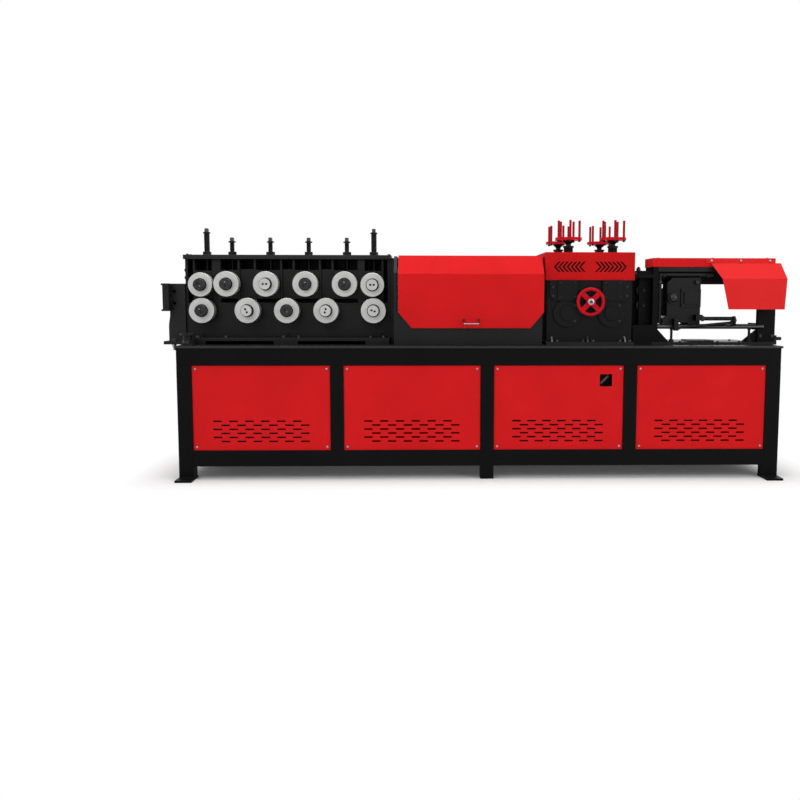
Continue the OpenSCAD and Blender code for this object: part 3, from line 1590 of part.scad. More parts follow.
// Sliding cutter head with a rounded nose, a boss, a stepped cover and lugs
module cutter_head() {
  y0 = pass_y - cut_head_d * half;
  y1 = pass_y + cut_head_d * half;
  z1 = pass_z + head_up;
  y2 = cut_y1 - beam_d - beam_gap;
  color(black)
    difference() {
      union() {
        intersection() {
          plate_x(head_x0, head_l)
            polygon([
              [y0, head_z0], [y1, head_z0], [y1, pass_z + beam_up - beam_h - head_bevel],
              [y2, pass_z + beam_up - beam_h - head_bevel], [y2, z1], [y0, z1],
            ]);
          plate_y(y0 - over, cut_head_d + 2 * over)
            polygon([
              [head_x0, head_z0], [head_x1, head_z0], [head_x1, z1], [head_x0 + head_bevel, z1],
              [head_x0, z1 - head_bevel],
            ]);
        }
        block([head_x0 - shoe_x + shoe_h * half, y0, head_z0], [head_x1, y1, head_z0 + shoe_h]);
        bar_y([head_x0 - shoe_x + shoe_h * half, y0, head_z0 + shoe_h * half], shoe_h, cut_head_d);
        bar_y([head_x0 + head_boss_d * half, y0 - head_boss_h, pass_z], head_boss_d, head_boss_h + eps);
        block([head_x1 - lid_w, y0 - lid_t, pass_z - lid_h * half],
          [head_x1, y0 + eps, pass_z + lid_h * half]);
        block([head_x1 - lid_w + lid_step, y0 - 2 * lid_t, pass_z - lid_h * half + lid_step],
          [head_x1 - lid_step, y0 - lid_t + eps, pass_z + lid_h * half - lid_step]);
        bar_y([head_x1 - knob_in, y0 - knob_h, z1 - knob_in], knob_d, knob_h + eps);
        block([head_x1 - lug_l, cyl_y - cyl_d, cyl_z - cyl_d * half], [head_x1, y0 + eps, cyl_z + cyl_d]);
        block([head_x0 + pipe_lug_in, cyl_y - pipe_d, head_z0],
          [head_x0 + pipe_lug_in + pipe_lug_l, y0 + eps, cyl_z - eps]);
        block([head_x0 + pipe_lug_in, cyl_y - pipe_d, pipe_z - pipe_drop - pipe_d],
          [head_x0 + pipe_lug_in + pipe_lug_l, cyl_y + pipe_d * half, head_z0 + eps]);
      }
      bar_path(head_x0, head_x1);
      block([head_x0 + head_slot_in, y0 - over, head_z0 - over],
        [head_x0 + head_slot_in + head_slot_l, y1 + over, head_z0 + head_slot_h]);
    }
}

// Return cylinder and feed pipe in front of the rods, fixed to the head
module return_cylinder() {
  pipe_x = head_x0 + pipe_lug_in + pipe_lug_l;
  end_x = head_x1 + cyl_l - cyl_flange_t;
  pipe_z0 = pipe_z - pipe_drop;
  run = norm([end_x - pipe_x, pipe_drop]);
  color(black) {
    bar_x([head_x1, cyl_y, cyl_z], cyl_d, cyl_l - cyl_flange_t + eps);
    intersection() {
      block([pipe_x, cyl_y - pipe_d, pipe_z0 - pipe_d], [end_x + eps, cyl_y + pipe_d, cyl_z]);
      translate([pipe_x, cyl_y, pipe_z0])
        rotate([0, acos(pipe_drop / run), 0])
          translate([0, 0, -pipe_d])
            cylinder(d = pipe_d, h = run + 2 * pipe_d);
    }
    bar_x([end_x, cyl_y, (cyl_z + pipe_z) * half], cyl_flange_d, cyl_flange_t);
  }
}

// Sheet cover over the cutter frame
module cutter_cover() {
  color(red)
    difference() {
      block([cap_x0, cap_y0, cap_z1 - cap_h], [cap_x1, cap_y1, cap_z1]);
      block([cap_x0 + cap_sheet, cap_y0 + cap_sheet, cap_z1 - cap_h - over],
        [cap_x1 + over, cap_y1 - cap_sheet, cap_z1 - cap_sheet]);
    }
}

// Bent guard over the outlet
module outlet_guard() {
  y0 = cap_y0;
  yf = cap_y0 - guard_reach;
  color(red)
    intersection() {
      plate_x(cap_x1 - strip_l - over, strip_l + guard_out + 2 * over)
        polygon([
          [y0, og_z1], [y0 - cap_sheet, og_z1], [y0 - cap_sheet, og_zs], [yf - cap_sheet, og_zf],
          [yf - cap_sheet, og_z0], [yf, og_z0], [yf, og_zf], [y0, og_zs],
        ]);
      plate_y(yf - cap_sheet - over, guard_reach + cap_sheet + 2 * over)
        polygon([
          [cap_x1 - strip_l, og_z1], [cap_x1 - strip_l, og_zs], [og_x1 - slope_l, og_zs],
          [og_x1 - fold_l, og_zf], [og_x1 - low_l, og_z0], [og_x1 - low_taper, og_z0], [og_x1, og_zf],
          [og_x1, og_zs], [cap_x1, og_zs], [cap_x1, og_z1],
        ]);
    }
}

placed() base_posts();
placed() base_rails();
placed() base_cross_members();
placed() foot_plates();
placed() deck_plate();
placed() front_panels();
placed() rear_panels();
placed() end_panels();
placed() lever_box();
placed() straightener_bed();
placed() straightener_walls();
placed() straightener_ribs();
placed() straightener_top_plate();
placed() lower_bearings();
placed() adjuster_1();
placed() adjuster_2();
placed() adjuster_3();
placed() adjuster_4();
placed() adjuster_5();
placed() adjuster_6();
placed() upper_roller_1();
placed() upper_roller_2();
placed() upper_roller_3();
placed() upper_roller_4();
placed() upper_roller_5();
placed() upper_roller_6();
placed() lower_roller_1();
placed() lower_roller_2();
placed() lower_roller_3();
placed() lower_roller_4();
placed() lower_roller_5();
placed() inlet_bracket();
placed() inlet_guide();
placed() clamp_jack();
placed() housing_walls();
placed() bearing_plates();
placed() drum_bearings();
placed() drum();
placed() hood();
placed() hood_handle();
placed() hinge_pins();
placed() gearbox();
placed() bearing_covers();
placed() feed_guard();
placed() press_bosses();
placed() handwheel();
placed() press_screw_1();
placed() press_screw_2();
placed() press_screw_3();
placed() press_screw_4();
placed() measuring_unit();
placed() cutter_posts();
placed() guide_rods();
placed() cutter_head();
placed() return_cylinder();
placed() cutter_cover();
placed() outlet_guard();
placed() cutter_bed();
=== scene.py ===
import math

import bmesh
import bpy
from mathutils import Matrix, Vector


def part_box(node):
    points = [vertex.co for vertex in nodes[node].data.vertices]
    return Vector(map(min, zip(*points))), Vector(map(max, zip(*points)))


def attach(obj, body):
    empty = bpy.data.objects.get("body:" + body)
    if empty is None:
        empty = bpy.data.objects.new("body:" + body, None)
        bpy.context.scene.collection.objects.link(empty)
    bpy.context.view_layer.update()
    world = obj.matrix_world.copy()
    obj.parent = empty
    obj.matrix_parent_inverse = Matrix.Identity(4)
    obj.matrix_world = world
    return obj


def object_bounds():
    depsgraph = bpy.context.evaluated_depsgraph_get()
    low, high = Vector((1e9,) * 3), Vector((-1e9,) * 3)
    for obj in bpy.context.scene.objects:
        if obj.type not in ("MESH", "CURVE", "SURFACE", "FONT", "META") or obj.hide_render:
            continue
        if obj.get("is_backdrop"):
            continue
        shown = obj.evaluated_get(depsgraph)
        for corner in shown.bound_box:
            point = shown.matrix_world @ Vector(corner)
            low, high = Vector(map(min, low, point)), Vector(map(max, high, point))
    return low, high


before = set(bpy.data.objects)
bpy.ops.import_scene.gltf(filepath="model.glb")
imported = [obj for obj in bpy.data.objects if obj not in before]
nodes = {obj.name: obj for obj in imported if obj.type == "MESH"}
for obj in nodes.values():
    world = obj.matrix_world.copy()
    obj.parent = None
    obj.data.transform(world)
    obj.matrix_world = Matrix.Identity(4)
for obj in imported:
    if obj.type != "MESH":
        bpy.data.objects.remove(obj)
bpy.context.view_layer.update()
MM = 0.001
X, Y, Z = Vector((1, 0, 0)), Vector((0, 1, 0)), Vector((0, 0, 1))
base_mid = sum(v.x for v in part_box("deck_plate")) / 2


def at(x, y, z):
    """A place in the row frame, given in millimetres from the floor under the middle of the base."""
    return Vector((base_mid + x * MM, y * MM, z * MM))


def corners(name):
    """Lowest and highest corners of a CAD node, in the millimetres that at() takes."""
    return [Vector([round(c / MM, 3) for c in (v.x - base_mid, v.y, v.z)]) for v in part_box(name)]


def numbered(name, count):
    """The names of repeated nodes."""
    return [f"{name}_{i}" for i in range(1, count + 1)]


# Places that several pieces share, in millimetres
PASS_Z = 814
WHEEL_HEIGHTS = (PASS_Z - 35, PASS_Z + 35)
PIPE_Y, PIPE_Z = -186, 921
FLANGE_T = 14
bed_lo = corners("straightener_bed")[0]
ribs_lo = corners("straightener_ribs")[0]
top_lo, top_hi = corners("straightener_top_plate")
gear_lo, gear_hi = corners("gearbox")
meas_lo, meas_hi = corners("measuring_unit")
cutter_lo, cutter_hi = corners("cutter_bed")
wheel_x = meas_hi.x - 32
flange_top = gear_lo.z + FLANGE_T

# Repeated nodes
rollers = numbered("upper_roller", 6) + numbered("lower_roller", 5)
adjusters = numbered("adjuster", 6)
press_screws = numbered("press_screw", 4)
DARK_HUBS = {f"upper_roller_{i}" for i in (1, 2, 4, 5)} | {f"lower_roller_{i}" for i in (1, 3)}

# Materials

# Scales of the noise in the finishes, per metre, and depths of their bumps in metres
CLOUD, DUST_PATCH, GLOSS_PATCH, PEEL, TURNED_CLOUD = 5.0, 14.0, 26.0, 420.0, 22.0
PEEL_DEPTH, MARK_DEPTH = 0.4 * MM, 0.2 * MM
# Sockets of the mix node for colours
MIX_FACTOR, MIX_A, MIX_B, MIX_RESULT = 0, 6, 7, 2


def shader(name):
    m = bpy.data.materials.new(name)
    m.use_nodes = True
    t = m.node_tree
    t.nodes.clear()
    out = t.nodes.new("ShaderNodeOutputMaterial")
    b = t.nodes.new("ShaderNodeBsdfPrincipled")
    t.links.new(b.outputs[0], out.inputs[0])
    return m, t, b


def feed(t, value, socket):
    """Links a socket to another one, or sets it to a number or colour."""
    if hasattr(value, "is_output"):
        t.links.new(value, socket)
    else:
        socket.default_value = value


def calc(t, how, *values):
    """A math node on sockets or numbers."""
    n = t.nodes.new("ShaderNodeMath")
    n.operation = how
    for value, socket in zip(values, n.inputs):
        feed(t, value, socket)
    return n.outputs[0]


def vector_calc(t, how, value, other=None):
    """A vector math node on a socket and, where it takes two, a fixed vector."""
    n = t.nodes.new("ShaderNodeVectorMath")
    n.operation = how
    t.links.new(value, n.inputs[0])
    if other is not None:
        n.inputs[1].default_value = other
    return n.outputs["Value" if how == "LENGTH" else "Vector"]


def noise(t, co, scale, detail=3.0, rough=0.55):
    n = t.nodes.new("ShaderNodeTexNoise")
    n.inputs["Scale"].default_value = scale
    n.inputs["Detail"].default_value = detail
    n.inputs["Roughness"].default_value = rough
    t.links.new(co, n.inputs["Vector"])
    return n.outputs[0]


def span(t, value, lo, hi, a=0.3, b=0.7):
    """Maps a value from a..b to lo..hi."""
    r = t.nodes.new("ShaderNodeMapRange")
    for name, number in (("From Min", a), ("From Max", b), ("To Min", lo), ("To Max", hi)):
        r.inputs[name].default_value = number
    t.links.new(value, r.inputs["Value"])
    return r.outputs[0]


def mix(t, fac, a, b):
    """Mixes two colours, each a socket or three numbers."""
    n = t.nodes.new("ShaderNodeMix")
    n.data_type = "RGBA"
    feed(t, fac, n.inputs[MIX_FACTOR])
    for colour, i in ((a, MIX_A), (b, MIX_B)):
        feed(t, colour if hasattr(colour, "is_output") else (*colour, 1), n.inputs[i])
    return n.outputs[MIX_RESULT]


def bump(t, b, height, strength, distance):
    n = t.nodes.new("ShaderNodeBump")
    n.inputs["Strength"].default_value = strength
    n.inputs["Distance"].default_value = distance
    t.links.new(height, n.inputs["Height"])
    t.links.new(n.outputs[0], b.inputs["Normal"])


def paint(name, rgb, shade, rough, peel=0.2, ior=1.3, dust=(0.3, 0.29, 0.28), dusty=0.04):
    """Sprayed paint: cloudy tone, uneven gloss, a fine orange peel and a trace of dust on top."""
    m, t, b = shader(name)
    co = t.nodes.new("ShaderNodeTexCoord").outputs["Object"]
    tone = mix(t, span(t, noise(t, co, CLOUD, detail=4.0), 0.0, 1.0), rgb, shade)
    normal = t.nodes.new("ShaderNodeSeparateXYZ")
    t.links.new(t.nodes.new("ShaderNodeNewGeometry").outputs["Normal"], normal.inputs[0])
    upward = span(t, normal.outputs[2], 0.0, dusty, 0.5, 1.0)
    patchy = span(t, noise(t, co, DUST_PATCH, detail=5.0, rough=0.65), 0.2, 1.0)
    lying = calc(t, "MULTIPLY", upward, patchy)
    t.links.new(mix(t, lying, tone, dust), b.inputs["Base Color"])
    t.links.new(span(t, noise(t, co, GLOSS_PATCH), rough - 0.06, rough + 0.08), b.inputs["Roughness"])
    b.inputs["IOR"].default_value = ior
    bump(t, b, noise(t, co, PEEL, detail=2.0), peel, PEEL_DEPTH)
    return m


def metal(name, rgb, shade, rough, stretch=(1, 1, 1), scale=180.0, strength=0.12):
    """Bare or plated metal with marks drawn out along one direction."""
    m, t, b = shader(name)
    co = t.nodes.new("ShaderNodeTexCoord").outputs["Object"]
    mapping = t.nodes.new("ShaderNodeMapping")
    mapping.inputs["Scale"].default_value = stretch
    t.links.new(co, mapping.inputs["Vector"])
    marks = noise(t, mapping.outputs[0], scale, detail=4.0, rough=0.7)
    t.links.new(mix(t, span(t, marks, 0.0, 1.0), rgb, shade), b.inputs["Base Color"])
    t.links.new(span(t, marks, rough - 0.05, rough + 0.1), b.inputs["Roughness"])
    b.inputs["Metallic"].default_value = 1.0
    bump(t, b, marks, strength, MARK_DEPTH)
    return m


def turned(name, rgb, shade, rough, centre, pitch=700.0):
    """Metal turned on a lathe: fine rings round an axis along Y through a point."""
    m, t, b = shader(name)
    co = t.nodes.new("ShaderNodeTexCoord").outputs["Object"]
    off = vector_calc(t, "SUBTRACT", co, centre)
    flat = vector_calc(t, "MULTIPLY", off, X + Z)
    depth = t.nodes.new("ShaderNodeSeparateXYZ")
    t.links.new(off, depth.inputs[0])
    comb = t.nodes.new("ShaderNodeCombineXYZ")
    t.links.new(vector_calc(t, "LENGTH", flat), comb.inputs[0])
    t.links.new(depth.outputs[1], comb.inputs[1])
    rings = noise(t, comb.outputs[0], pitch, detail=2.0, rough=0.6)
    cloud = noise(t, co, TURNED_CLOUD, detail=4.0)
    t.links.new(mix(t, span(t, cloud, 0.0, 1.0), rgb, shade), b.inputs["Base Color"])
    t.links.new(span(t, rings, rough - 0.06, rough + 0.1), b.inputs["Roughness"])
    b.inputs["Metallic"].default_value = 1.0
    bump(t, b, rings, 0.15, MARK_DEPTH)
    return m


SOOT = (0.06, 0.06, 0.06)
DRAWN = (1, 30, 30)
RED = paint("red_paint", (0.63, 0.0133, 0.0155), (0.565, 0.0120, 0.0138),
            rough=0.58, ior=1.07, dusty=0.02)
DULL_RED = paint("dull_red", (0.53, 0.0108, 0.0114), (0.48, 0.0096, 0.0102),
                 rough=0.58, ior=1.07, dusty=0.02)
# Red with painted light: paler and with a painted sheen, for the outlet guard that is lit from the right
LIT_RED = paint("lit_red", (0.71, 0.0240, 0.0240), (0.66, 0.0215, 0.0215),
                 rough=0.55, ior=1.08, dusty=0.02)
CRIMSON = paint("deep_red", (0.54, 0.0075, 0.0170), (0.44, 0.0060, 0.0135),
                rough=0.26, ior=1.13, dusty=0.02)
# The pins' deeper red is painted shade
PIN_RED = paint("pin_red", (0.42, 0.0068, 0.0150), (0.30, 0.0048, 0.0105),
                rough=0.26, ior=1.13, dusty=0.02)
FRAME = paint("frame_black", (0.0042, 0.0042, 0.0046), (0.0032, 0.0032, 0.0036),
              rough=0.42, peel=0.3, ior=1.14, dust=SOOT)
DECK = paint("deck_black", (0.0060, 0.0060, 0.0064), (0.0046, 0.0046, 0.0050),
             rough=0.28, ior=1.42, dust=SOOT)
BLACK = paint("black_paint", (0.0105, 0.0107, 0.0112), (0.0080, 0.0082, 0.0087),
              rough=0.42, peel=0.3, ior=1.24, dust=SOOT)
# A lighter black: on the straightener's top plate it is painted light for its lit top, and on the gearbox
# flange's front a painted highlight
PLATE = paint("plate_black", (0.0175, 0.0177, 0.0185), (0.0140, 0.0142, 0.0150),
              rough=0.42, peel=0.3, ior=1.24, dust=SOOT)
CAST = paint("black_cast", (0.0060, 0.0060, 0.0065), (0.0044, 0.0044, 0.0049),
             rough=0.46, peel=0.8, ior=1.20, dust=SOOT)
HEAD = paint("head_black", (0.0062, 0.0062, 0.0067), (0.0046, 0.0046, 0.0050),
             rough=0.36, peel=0.6, ior=1.24, dust=SOOT)
# Painted shade: a near-black without reflections, put in holes, recesses and slots and on shaded sides
PAINTED_SHADE = paint("painted_shade", (0.003, 0.003, 0.0034), (0.002, 0.002, 0.0023), rough=0.7, ior=1.03, dusty=0.0)
GREY = paint("grey_paint", (0.16, 0.16, 0.17), (0.12, 0.12, 0.13), rough=0.45)
OXIDE = metal("black_oxide", (0.044, 0.044, 0.046), (0.027, 0.027, 0.029), rough=0.42)
SCREW = metal("screw_black", (0.020, 0.020, 0.021), (0.011, 0.011, 0.012), rough=0.40)
# Worn bare metal, also used as a painted highlight on the gearbox's gussets
WORN_AND_HIGHLIGHT = metal("worn_metal_and_highlight", (0.085, 0.085, 0.088), (0.036, 0.036, 0.039), rough=0.36, stretch=DRAWN)
ZINC = metal("zinc_plate", (0.40, 0.40, 0.41), (0.28, 0.28, 0.29), rough=0.36)
STEEL = metal("ground_steel", (0.46, 0.46, 0.47), (0.36, 0.36, 0.37), rough=0.34, stretch=DRAWN)
# The chrome's dark, warm tone is a painted reflection of the red hood and of a dim room
CHROME = metal("chrome_plate", (0.30, 0.285, 0.28), (0.23, 0.22, 0.215), rough=0.16, strength=0.02)
ROLLER_TONE, ROLLER_SHADE = (0.50, 0.50, 0.49), (0.42, 0.42, 0.415)

# Finishes of the CAD nodes

# A face looks along an axis when its normal's share is above FACING, and is a side wall below SIDE
FACING, SIDE = 0.9, 0.5
WELD_GAP = 0.01 * MM
BEVEL_ANGLE = math.radians(35)
EDGE = 1.4
FINISH = {
    RED: "front_panels rear_panels end_panels hood cutter_cover",
    DULL_RED: "feed_guard",
    LIT_RED: "outlet_guard",
    CRIMSON: "handwheel",
    FRAME: "base_posts base_rails base_cross_members foot_plates lever_box cutter_posts"
           " measuring_unit press_bosses",
    DECK: "deck_plate",
    # The top plate's lighter black is painted light on its lit top
    PLATE: "straightener_top_plate inlet_bracket",
    CAST: "gearbox bearing_covers",
    HEAD: "cutter_head",
    STEEL: "hinge_pins drum",
    CHROME: "hood_handle",
}
EDGES = {
    0: "hood_handle drum",
    0.6: "handwheel lever_box",
    0.8: "front_panels rear_panels end_panels guide_rods",
    1.0: "hood feed_guard cutter_cover outlet_guard",
}
finish = {n: m for m, names in FINISH.items() for n in names.split()}
edges = {n: e for e, names in EDGES.items() for n in names.split()}


def dress(name, mat, edge):
    """Gives a CAD node its finish and softens its edges by some millimetres."""
    o = nodes[name]
    o.data.materials.clear()
    o.data.materials.append(mat)
    for p in o.data.polygons:
        p.use_smooth = True
    if not edge:
        return
    w = o.modifiers.new("weld", "WELD")
    w.merge_threshold = WELD_GAP
    b = o.modifiers.new("edge", "BEVEL")
    b.width = edge * MM
    b.segments = 2
    b.limit_method = "ANGLE"
    b.angle_limit = BEVEL_ANGLE
    b.use_clamp_overlap = True
    b.harden_normals = True
    f = o.modifiers.new("flat", "WEIGHTED_NORMAL")
    f.mode = "FACE_AREA_WITH_ANGLE"
    f.keep_sharp = True


def recolour(name, mat, test):
    """Gives another finish to the faces of a CAD node whose middle and normal pass a test."""
    me = nodes[name].data
    me.materials.append(mat)
    i = len(me.materials) - 1
    for p in me.polygons:
        if test(p.center, p.normal):
            p.material_index = i


def off_axis(v, c):
    """Distance of a place from an axis along Y."""
    return math.hypot(v.x - c.x, v.z - c.z)


def inside(v, lo, hi):
    """Whether a place lies in a box."""
    return all(a < b < c for a, b, c in zip(lo, v, hi))


for n in nodes:
    if n not in rollers and n not in press_screws:
        dress(n, finish.get(n, BLACK), edges.get(n, EDGE))

# Rollers: turned faces, dark or bright hubs, painted shade in the hubs' screw holes and recesses
HUB_OUT, HUB_CORE, HOLE_IN = 20 * MM, 20 * MM, 2 * MM
for n in rollers:
    lo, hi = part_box(n)
    c = (lo + hi) / 2
    mat = turned("turned_" + n, ROLLER_TONE, ROLLER_SHADE, rough=0.5, centre=c)
    dress(n, mat, edge=0.6)
    hub_y = lo.y + HUB_OUT
    dark = n in DARK_HUBS
    recolour(n, OXIDE, lambda v, k: v.y < hub_y
             and (dark or abs(k.y) < FACING and off_axis(v, c) > HUB_CORE))
    recolour(n, PAINTED_SHADE, lambda v, k: v.y < hub_y and off_axis(v, c) < HUB_CORE
             and (abs(k.y) < SIDE or v.y > lo.y + HOLE_IN))

# Adjusting screws: dark shafts with worn tips
SHAFT_L, SHAFT_HALF, TIP_L = 140 * MM, 14 * MM, 15 * MM
for n in adjusters:
    lo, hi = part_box(n)
    c = (lo + hi) / 2
    recolour(n, SCREW, lambda v, k: v.z > hi.z - SHAFT_L and abs(v.x - c.x) < SHAFT_HALF)
    recolour(n, WORN_AND_HIGHLIGHT, lambda v, k: v.z > hi.z - TIP_L)

# Pressing screws: black below the star disc, and on its pins a deeper red that is painted shade
DISC_DOWN, PINS_DOWN = 89.5 * MM, 75.5 * MM
for n in press_screws:
    dress(n, CRIMSON, edge=0.8)
    pin_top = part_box(n)[1].z
    recolour(n, SCREW, lambda v, k: v.z < pin_top - DISC_DOWN)
    recolour(n, PIN_RED, lambda v, k: v.z > pin_top - PINS_DOWN)

# Lever in its box
LEVER_FROM, LEVER_TO = Vector((4, 28, 4)) * MM, Vector((4, 2.6, 4)) * MM
lo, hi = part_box("lever_box")
lever_lo, lever_hi = lo + LEVER_FROM, hi - LEVER_TO
recolour("lever_box", GREY, lambda v, k: inside(v, lever_lo, lever_hi))

# Worn lower rods and lighter upper pipe of the cutter
ROD_UP, ROD_R, PIPE_R = 70 * MM, 10.2 * MM, 12 * MM
rod_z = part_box("guide_rods")[0].z + ROD_UP
pipe = at(0, PIPE_Y, PIPE_Z)
recolour("guide_rods", WORN_AND_HIGHLIGHT, lambda v, k: abs(v.z - rod_z) < ROD_R and abs(k.x) < FACING)
recolour("guide_rods", PLATE, lambda v, k: math.hypot(v.y - pipe.y, v.z - pipe.z) < PIPE_R)

# Painted shade on the left sides; painted highlights on the front of the gearbox's flange and on the faces
# of its gussets that look up and forward
for n in ("cutter_head", "cutter_posts", "gearbox", "bearing_covers"):
    recolour(n, PAINTED_SHADE, lambda v, k: k.x < -FACING)
GUSSET_H = 24
flange_z, gusset_z = (flange_top + 1) * MM, (flange_top + 1 + GUSSET_H) * MM
recolour("gearbox", PLATE, lambda v, k: v.z < flange_z and k.y < -FACING)
recolour("gearbox", WORN_AND_HIGHLIGHT, lambda v, k: flange_z < v.z < gusset_z and k.y < -SIDE and k.z > SIDE)

# Feet of the hood's handle
HANDLE_FOOT = 5 * MM
handle_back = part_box("hood_handle")[1].y - HANDLE_FOOT
recolour("hood_handle", OXIDE, lambda v, k: v.y > handle_back)

# Painted shade on the walls of the chevron cut-outs
CHEVRON_IN, GUARD_T, CHEVRON_LOW, CHEVRON_HIGH = 20, 4, 90, 42
lo, hi = corners("feed_guard")
chevron_lo = at(lo.x + CHEVRON_IN, lo.y - 1, hi.z - CHEVRON_LOW)
chevron_hi = at(hi.x - CHEVRON_IN, lo.y + GUARD_T, hi.z - CHEVRON_HIGH)
recolour("feed_guard", PAINTED_SHADE, lambda v, k: abs(k.y) < SIDE and inside(v, chevron_lo, chevron_hi))

# Measuring wheels
WHEEL_R, WHEEL_FRONT, WHEEL_BACK, WHEEL_REACH = 30.2, -145, -119, 66
wheels = [at(wheel_x, 0, z) for z in WHEEL_HEIGHTS]
wheels_lo = at(meas_lo.x - 1, WHEEL_FRONT, PASS_Z - WHEEL_REACH)
wheels_hi = at(meas_hi.x - 1, WHEEL_BACK, PASS_Z + WHEEL_REACH)
recolour("measuring_unit", SCREW, lambda v, k: inside(v, wheels_lo, wheels_hi)
         and any(off_axis(v, w) < WHEEL_R * MM for w in wheels))

# Painted shade in the holes of the inlet bracket
BRACKET_R, BRACKET_OUT, BRACKET_HEIGHTS, BRACKET_DEEP = 7.6, 49, (787, 841), 4
holes = [at(ribs_lo.x - BRACKET_OUT, 0, z) for z in BRACKET_HEIGHTS]
deep_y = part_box("inlet_bracket")[0].y + BRACKET_DEEP * MM
recolour("inlet_bracket", PAINTED_SHADE, lambda v, k: any(off_axis(v, h) < BRACKET_R * MM for h in holes)
         and (abs(k.y) < SIDE or v.y > deep_y))

# Small pieces

SHARP_ANGLE = math.radians(38)
WASHER_T = 1.6
HEX = 6
kits = {}


def kit(body, mat):
    """The mesh that gathers the small pieces of one finish on one body."""
    return kits.setdefault((body, mat), bmesh.new())


def basis(axis):
    """An axis and two directions square to it, all of length 1."""
    a = Vector(axis).normalized()
    u = a.orthogonal().normalized() if abs(a.z) < FACING else X.copy()
    u = (u - a * u.dot(a)).normalized()
    return a, u, a.cross(u)


def lathe(body, mat, p, axis, profile, sides=24, turn=0.0):
    """A turned piece: radius and height pairs in millimetres, from a place along an axis."""
    bm = kit(body, mat)
    a, u, w = basis(axis)
    angles = [turn + 2 * math.pi * i / sides for i in range(sides)]
    around = [u * math.cos(k) + w * math.sin(k) for k in angles]
    rings = []
    for r, h in profile:
        c = p + a * h * MM
        rings.append([bm.verts.new(c + d * r * MM) for d in around] if r else [bm.verts.new(c)])
    for p0, p1 in zip(rings, rings[1:]):
        for i in range(sides):
            j = (i + 1) % sides
            quad = [p0[i % len(p0)], p0[j % len(p0)], p1[j % len(p1)], p1[i % len(p1)]]
            face = list(dict.fromkeys(quad))
            if len(face) > 2:
                bm.faces.new(face)


def slab(body, mat, lo, hi):
    """A box between two corners."""
    bm = kit(body, mat)
    c = [bm.verts.new((x, y, z)) for x in (lo.x, hi.x) for y in (lo.y, hi.y) for z in (lo.z, hi.z)]
    for f in ((0, 1, 3, 2), (4, 6, 7, 5), (0, 4, 5, 1), (2, 3, 7, 6), (0, 2, 6, 4), (1, 5, 7, 3)):
        bm.faces.new([c[i] for i in f])


def stub(body, mat, p, axis, r, h, edge=1.0, rise=1.0, sides=24, turn=0.0):
    """A short round or six-sided piece whose far rim is broken by an edge."""
    lathe(body, mat, p, axis, [(r, 0), (r, h - rise), (r - edge, h), (0, h)], sides, turn)


def washer(body, mat, p, axis, r):
    t = WASHER_T
    lathe(body, mat, p, axis, [(r, 0), (r, t * 0.7), (r - t * 0.3, t), (0, t)])


def hex_bolt(body, mat, p, axis, flats, h, turn=0.3, seat=True):
    """A hexagon head with a broken rim, on a washer where it has a seat."""
    if seat:
        washer(body, mat, p, axis, flats * 0.62 + 1.2)
        p = p + Vector(axis).normalized() * WASHER_T * MM
    r = flats / math.sqrt(3)
    lathe(body, mat, p, axis, [(r, 0), (r, h * 0.84), (r * 0.88, h), (0, h)], HEX, turn)


def nut(body, mat, p, axis, flats, h, bore, turn=0.3):
    r = flats / math.sqrt(3)
    profile = [(bore, 0), (r, 0), (r, h * 0.9), (r * 0.91, h), (bore, h), (bore, 0)]
    lathe(body, mat, p, axis, profile, HEX, turn)


def cap_screw(body, mat, p, axis, d, h):
    """A round head with a hexagon socket whose walls and floor are painted shade."""
    r = d / 2
    lathe(body, mat, p, axis, [(r, 0), (r, h * 0.86), (r * 0.93, h), (r * 0.52, h)])
    lathe(body, PAINTED_SHADE, p, axis, [(r * 0.52, h), (r * 0.5, h * 0.45), (0, h * 0.45)], HEX)


def dome_screw(body, mat, p, axis, d, h):
    """A domed head with a small recess in painted shade."""
    r = d / 2
    dome = [(r, 0), (r * 0.97, h * 0.3), (r * 0.8, h * 0.7), (r * 0.45, h * 0.95), (r * 0.2, h)]
    lathe(body, mat, p, axis, dome, sides=20)
    lathe(body, PAINTED_SHADE, p, axis, [(r * 0.2, h), (r * 0.16, h * 0.7), (0, h * 0.7)], sides=8)


def thread(body, mat, p, axis, r, length, pitch=3.0):
    """Ring ridges of a screw thread."""
    prof = [(r + 0.1, 0)]
    k = 0.0
    while k + pitch <= length:
        prof += [(r + 0.9, k + pitch * 0.5), (r + 0.1, k + pitch)]
        k += pitch
    lathe(body, mat, p, axis, prof, sides=20)


def bead(body, mat, p, q, r=3.0):
    """A weld bead between two places: a row of low ripples."""
    length = (q - p).length / MM
    count = max(3, int(length / (r * 1.1)))
    ripples = []
    for i in range(count):
        ripples += [(r * 0.82, (i + 0.05) * length / count), (r, (i + 0.5) * length / count)]
    lathe(body, mat, p, q - p, [(0, 0)] + ripples + [(0, length)], sides=8)


def solids(name):
    """Boxes of the separate solids in a node, in the row frame."""
    me = nodes[name].data
    parent = list(range(len(me.vertices)))

    def root(i):
        while parent[i] != i:
            parent[i] = parent[parent[i]]
            i = parent[i]
        return i

    same = {}
    for v in me.vertices:
        k = tuple(round(c, 6) for c in v.co)
        parent[root(v.index)] = root(same.setdefault(k, v.index))
    for e in me.edges:
        parent[root(e.vertices[0])] = root(e.vertices[1])
    boxes = {}
    for v in me.vertices:
        b = boxes.setdefault(root(v.index), [v.co.copy(), v.co.copy()])
        for i in range(3):
            b[0][i], b[1][i] = min(b[0][i], v.co[i]), max(b[1][i], v.co[i])
    return sorted(boxes.values(), key=lambda b: (round(b[0].x, 4), round(b[0].y, 4)))


